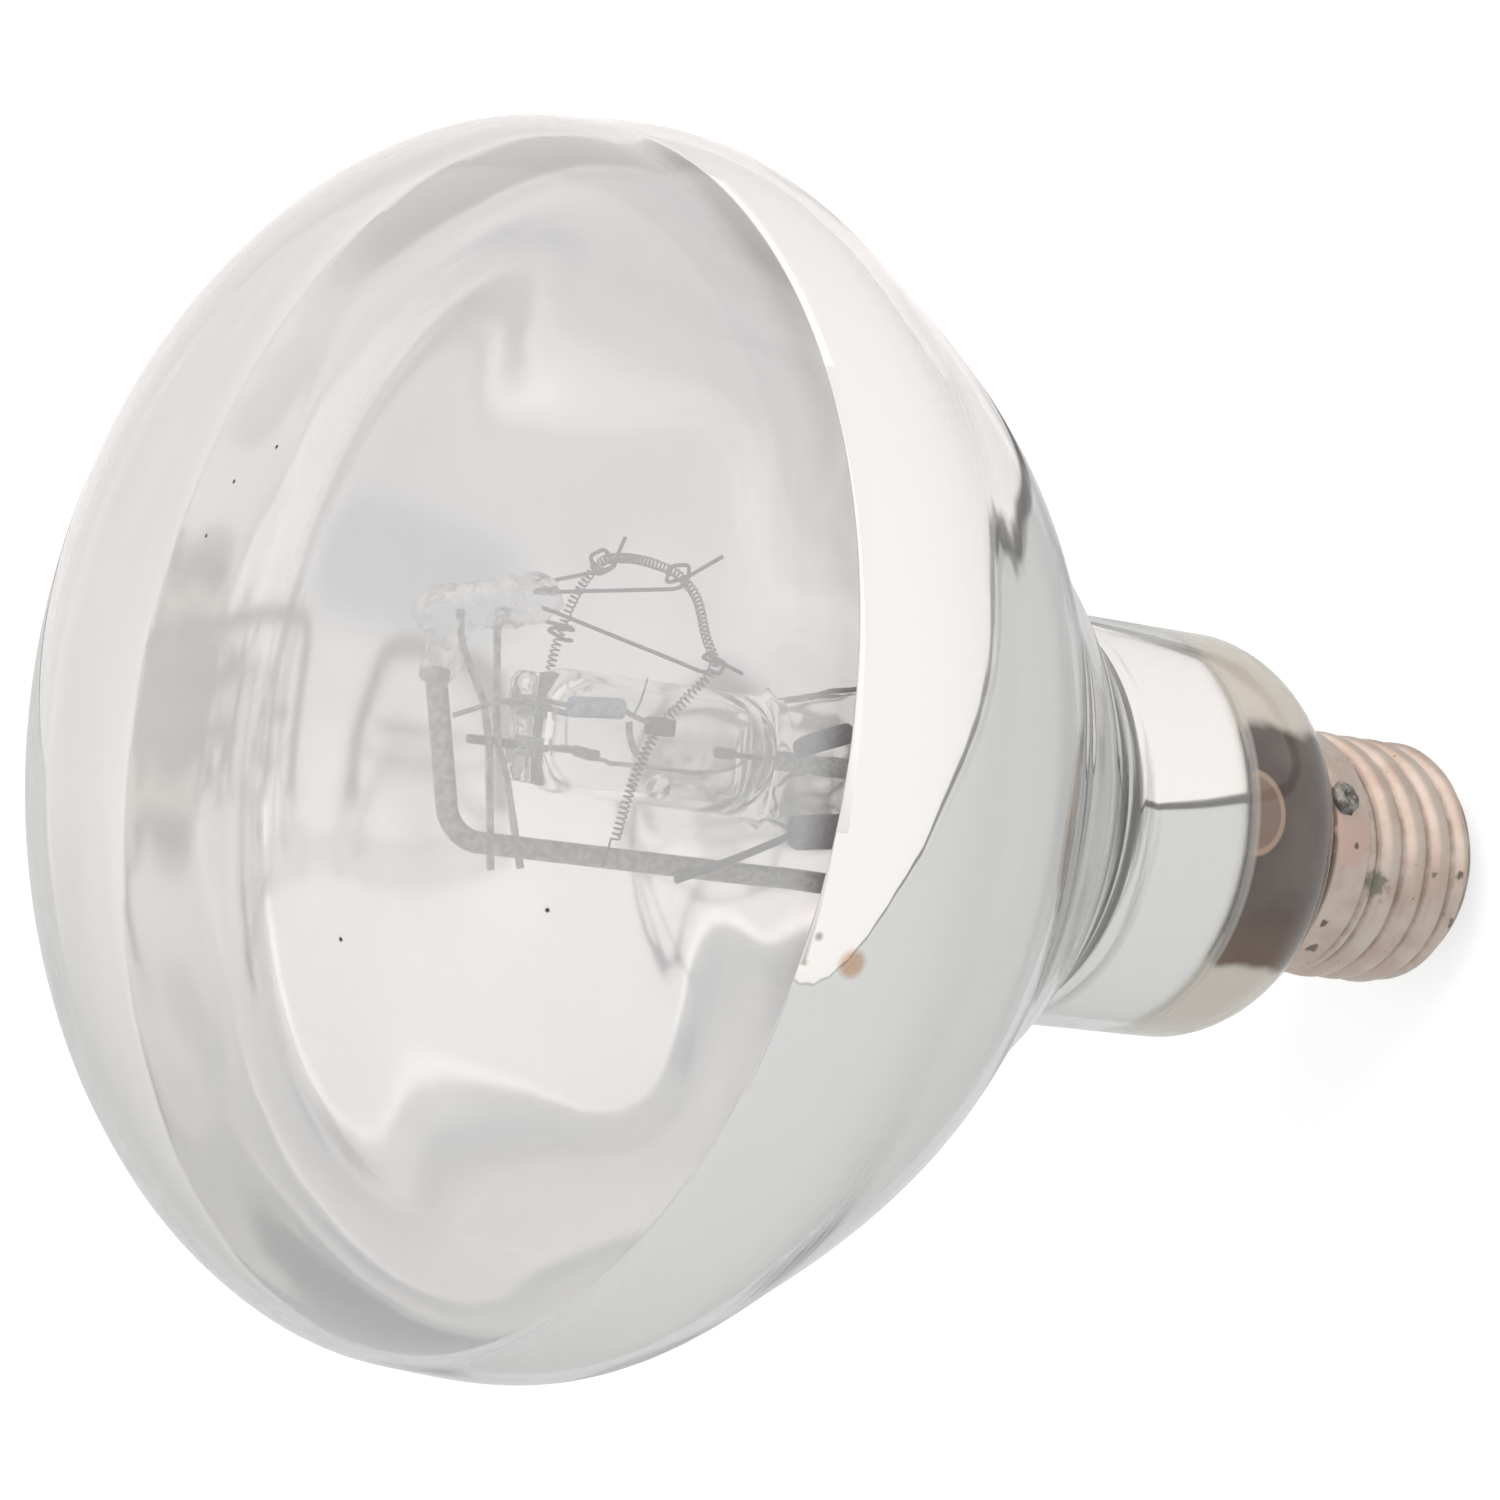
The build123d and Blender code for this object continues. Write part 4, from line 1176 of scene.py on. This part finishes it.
@dataclass
class Bead:
    """The lump of glass fused over the rod's tip, which holds hooks and straps."""

    front: Point = (11.2, -0.6, 133.0)
    rear: Point = (14.5, -1.4, 118.8)
    radius: float = 2.35
    lug_start: Point = (5.4, 1.9, 129.0)
    lug_end: Point = (12.1, -0.8, 129.2)
    lug_radius: float = 1.85
    voxel: float = 0.22

    def rod(self, shape: Mesh, start: Vector, end: Vector, radius: float) -> None:
        """Adds a round cane with domed ends.

        Args:
            shape: the bmesh it goes into.
            start: one end.
            end: the other end.
            radius: its radius.
        """
        along = end - start
        turn = along.to_track_quat("Z", "Y").to_matrix().to_4x4()
        middle = Matrix.Translation((start + end) / 2) @ turn
        bmesh.ops.create_cone(
            shape, cap_ends=True, segments=40, radius1=radius, radius2=radius,
            depth=along.length - radius, matrix=middle,
        )
        inset = along.normalized() * radius * 0.7
        for spot in (start + inset, end - inset):
            dome = Matrix.Translation(spot)
            bmesh.ops.create_icosphere(shape, subdivisions=3, radius=radius * 0.98, matrix=dome)

    def build(self) -> None:
        """Fuses the canes to one lump and wrinkles its skin."""
        shape = bmesh.new()
        self.rod(shape, Vector(self.front), Vector(self.rear), self.radius)
        self.rod(shape, Vector(self.lug_start), Vector(self.lug_end), self.lug_radius)
        mesh = bpy.data.meshes.new("canes")
        shape.to_mesh(mesh)
        shape.free()
        holder = shown("canes", mesh)
        fuse = holder.modifiers.new("fuse", "REMESH")
        fuse.mode = "VOXEL"
        fuse.voxel_size = self.voxel
        ease = holder.modifiers.new("ease", "SMOOTH")
        ease.iterations = 6
        shape = evaluated(holder)
        knead(shape, 1.5, 0.45, 1.3)
        knead(shape, 0.55, 0.16, 8.2)
        settle(shape, "fused_bead", BEAD_GLASS, "support_bead")


@dataclass
class Fittings:
    """The solids whose shape is right, each with its finish, which is nickel wire if none is given."""

    made_of: tuple[tuple[Finish, str], ...] = (
        (VITRITE, "cap_insulator"),
        (CONTACT, "centre_contact"),
        (SOLDER, "contact_solder"),
        (CEMENT, "capping_cement"),
        (STEM_GLASS, "stem exhaust_tube"),
        (STRAP, "stem_collar strap_front strap_rear crimp_ribbon"),
        (MOLYBDENUM, "front_seal_foil probe_seal_foil rear_seal_foil"),
        (TUNGSTEN, "front_electrode starting_electrode rear_electrode front_lead_wire rear_lead_wire"),
        (TUNGSTEN, "filament_crimp sleeve_lead"),
        (TUNGSTEN, "filament_hook_left filament_hook_top filament_hook_upper filament_hook_lower"),
        (RESISTOR, "starting_resistor"),
        (SLEEVE, "lead_sleeve rear_resistor"),
    )

    def build(self, nodes: dict[str, bpy.types.Object]) -> None:
        """Dresses every solid that stays.

        Args:
            nodes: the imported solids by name.
        """
        finishes = {name: finish for finish, names in self.made_of for name in names.split()}
        for name, node in nodes.items():
            if node.hide_render:
                continue
            finish = finishes.get(name, NICKEL)
            node.data.materials.clear()
            node.data.materials.append(finish.material())
            log.info("%s: %s", name, finish.name)


@dataclass
class Studio:
    """The pale floor, the soft lamps and the camera.

    Colours that start with glow are linear light, because some are brighter than white.
    """

    camera_at: Point = (-29.0, -386.7, 379.9)
    camera_right: Point = (0.089, -0.598, -0.796)
    camera_up: Point = (0.994, 0.0, 0.110)
    lens: float = 117.8
    floor_size: float = 12.0
    panel_side: float = 420.0
    panel_aim: float = 80.0
    paper: float = 0.62
    paper_behind: float = 0.48
    room_behind: float = 0.8
    room_light: float = 0.55
    table: str = "#e0e1e0"
    seam: str = "#434343"
    glow_card: Point = (1.07, 1.03, 1.02)
    glow_dim: Point = (0.69, 0.68, 0.68)
    glow_bright: Point = (1.47, 1.37, 1.32)
    screen: str = "#9ba5b6"
    screen_aim: Point = (-0.56, -0.72, 0.4)
    card_edge: tuple[Span, ...] = (
        (-300.0, -235.0), (-227.0, -92.0), (-134.0, -12.0), (-58.0, 27.0), (-21.0, 55.0), (60.0, 60.0),
    )

    def camera(self) -> None:
        """Sets up the camera of the main view."""
        lens = bpy.data.cameras.new("camera")
        lens.lens = self.lens
        lens.sensor_width = 36.0
        lens.clip_start = 0.01
        lens.clip_end = 50.0
        eye = shown("camera", lens)
        right = Vector(self.camera_right).normalized()
        up = Vector(self.camera_up)
        up = (up - right * up.dot(right)).normalized()
        back = right.cross(up)
        turn = Matrix((right, up, back)).transposed().to_4x4()
        eye.matrix_world = Matrix.Translation(Vector(self.camera_at) * MM) @ turn
        bpy.context.scene.camera = eye

    def seen(self, tree: Tree) -> Node:
        """Finds the rays that show a surface to the eye, in a reflection or behind glass.

        Args:
            tree: the tree it goes into.

        Returns:
            The node that gives 1 for them.
        """
        path = put(tree, "LightPath").outputs
        direct = put(
            tree, "Math", {0: path[Ray.CAMERA.value], 1: path[Ray.GLOSSY.value]}, operation="MAXIMUM"
        )
        return put(tree, "Math", {0: direct, 1: path[Ray.THROUGH.value]}, operation="MAXIMUM")

    def through(self, tree: Tree, white: float, behind: float) -> Node:
        """Finds a surface's light: white to the eye, and a little less behind glass.

        Args:
            tree: the tree it goes into.
            white: its light for the camera's own rays.
            behind: its light for rays that have passed glass.

        Returns:
            The node that gives the light.
        """
        path = put(tree, "LightPath").outputs[Ray.THROUGH.value]
        return put(tree, "Mix", {0: path, 2: white, 3: behind}, data_type="FLOAT")

    def mirrored(self, tree: Tree) -> Node:
        """Returns 1 for the rays that have met a mirror or a shiny skin on their way."""
        depth = put(tree, "LightPath").outputs[Ray.MIRRORED.value]
        return put(tree, "Math", {0: depth, 1: 1.0}, operation="MINIMUM")

    def reflection(self, tree: Tree) -> Node:
        """Draws what reflections show of the floor: a grey-green table, a dark seam and a white card.

        Args:
            tree: the floor material's tree.

        Returns:
            The node that gives the colour.
        """
        here = put(tree, "TexCoord").outputs["Object"]
        place = put(tree, "SeparateXYZ", {0: here}).outputs
        start, end = self.card_edge[0][0], self.card_edge[-1][0]
        low = min(x for _, x in self.card_edge)
        high = max(x for _, x in self.card_edge)
        along = put(tree, "MapRange", {0: place[1], 1: start * MM, 2: end * MM})
        bend = put(tree, "FloatCurve", {"Value": along})
        curve = bend.mapping.curves[0]
        spots = [((y - start) / (end - start), (x - low) / (high - low)) for y, x in self.card_edge]
        curve.points[0].location = spots[0]
        curve.points[-1].location = spots[-1]
        for spot in spots[1:-1]:
            curve.points.new(*spot)
        bend.mapping.update()
        edge = put(tree, "MapRange", {0: bend, 3: low * MM, 4: high * MM})
        past = put(tree, "Math", {0: place[0], 1: edge}, operation="SUBTRACT")
        card = put(tree, "MapRange", {0: past, 1: -2 * MM, 2: 2 * MM})
        seam = near(tree, past, 0.0, (1.6, 3.0), 0.8, Fade.EVEN)
        return layered(tree, self.table, (card, (*self.glow_card, 1.0)), (seam, self.seam))

    def floor(self) -> None:
        """Lays the floor: white to the eye, with the table and card in reflections."""
        shape = bmesh.new()
        bmesh.ops.create_grid(shape, x_segments=1, y_segments=1, size=self.floor_size / 2)
        mesh = bpy.data.meshes.new("floor")
        shape.to_mesh(mesh)
        shape.free()
        made = bpy.data.materials.new("white_paper")
        made.use_nodes = True
        tree = made.node_tree
        tree.nodes.clear()
        image = put(tree, "Emission", {"Color": self.reflection(tree)})
        level = self.through(tree, self.paper, self.paper_behind)
        glow = put(tree, "Math", {0: self.seen(tree), 1: level}, operation="MULTIPLY")
        light = put(tree, "Emission", {"Strength": glow})
        matt = put(tree, "BsdfDiffuse", {"Color": (self.paper, self.paper, self.paper, 1.0)})
        paper = put(tree, "AddShader", {0: light, 1: matt})
        both = put(tree, "MixShader", {0: self.mirrored(tree), 1: paper, 2: image})
        put(tree, "OutputMaterial", {"Surface": both})
        mesh.materials.append(made)
        shown("floor", mesh)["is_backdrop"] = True

    def world(self) -> None:
        """Makes the room white to the eye and even and soft as a light."""
        room = bpy.data.worlds.new("room")
        room.use_nodes = True
        tree = room.node_tree
        tree.nodes.clear()
        aim = put(tree, "TexCoord").outputs["Generated"]
        side = put(tree, "SeparateXYZ", {0: aim}).outputs[0]
        clouds = put(tree, "TexNoise", {"Vector": aim, "Scale": 1.6, "Detail": 2.0})
        clouds = put(tree, "MapRange", {0: clouds, 1: 0.3, 2: 0.7, 3: -0.25, 4: 0.25})
        across = put(tree, "Math", {0: side, 1: clouds}, operation="ADD")
        across = put(tree, "MapRange", {0: across, 1: -0.9, 2: 0.9}, interpolation_type=Fade.SOFT)
        # A world's directions have no length, so the patch is measured in thousandths of them
        aim_at = tuple(c / MM for c in self.screen_aim)
        screen = near(tree, aim, aim_at, (120.0, 300.0), 0.9, Fade.SOFT)
        dim, bright = (*self.glow_dim, 1.0), (*self.glow_bright, 1.0)
        image = layered(tree, dim, (across, bright), (screen, self.screen))
        mirrored = self.mirrored(tree)
        colour = layered(tree, "#ffffff", (mirrored, image))
        level = self.through(tree, 1.0, self.room_behind)
        level = put(tree, "Mix", {0: mirrored, 2: level, 3: 1.0}, data_type="FLOAT")
        strength = put(tree, "MapRange", {0: self.seen(tree), 3: self.room_light, 4: level})
        back = put(tree, "Background", {"Color": colour, "Strength": strength})
        put(tree, "OutputWorld", {"Surface": back})
        bpy.context.scene.world = room

    def lamp(self, name: str, place: Point, power: float, shade: str) -> None:
        """Hangs a soft panel aimed at the lamp's middle.

        Args:
            name: its name.
            place: where it hangs, in millimetres.
            power: its power in watts.
            shade: its colour.
        """
        panel = bpy.data.lights.new(name, "AREA")
        panel.shape = "SQUARE"
        panel.size = self.panel_side * MM
        panel.energy = power
        panel.color = linear(shade)[:3]
        hung = shown(name, panel)
        spot = Vector(place) * MM
        aim = Vector((0, 0, self.panel_aim * MM)) - spot
        hung.visible_glossy = False
        hung.visible_transmission = False
        hung.location = spot
        hung.rotation_euler = aim.to_track_quat("-Z", "Y").to_euler()

    def build(self) -> None:
        """Sets the camera, floor, room and lamps."""
        self.camera()
        self.floor()
        self.world()
        self.lamp("key", (420.0, -260.0, 520.0), 2.2, "#fffaf5")
        self.lamp("fill", (-260.0, -520.0, 420.0), 1.3, "#f7fbff")
        bpy.context.scene.view_settings.view_transform = "Standard"


def corners() -> list[list[float]]:
    """Returns the shown object's lowest and highest corner as plain lists."""
    return [list(corner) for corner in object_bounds()]


def main() -> None:
    """Builds the lamp's pieces and the studio, in order."""
    logging.basicConfig(level=logging.INFO, format="%(name)s %(message)s")
    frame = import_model()
    Studio().build()
    Bulb().build()
    Cap().build()
    Ballast().build()
    ArcTube().build()
    Bead().build()
    Fittings().build(frame["nodes"])


if __name__ == "__main__":
    main()
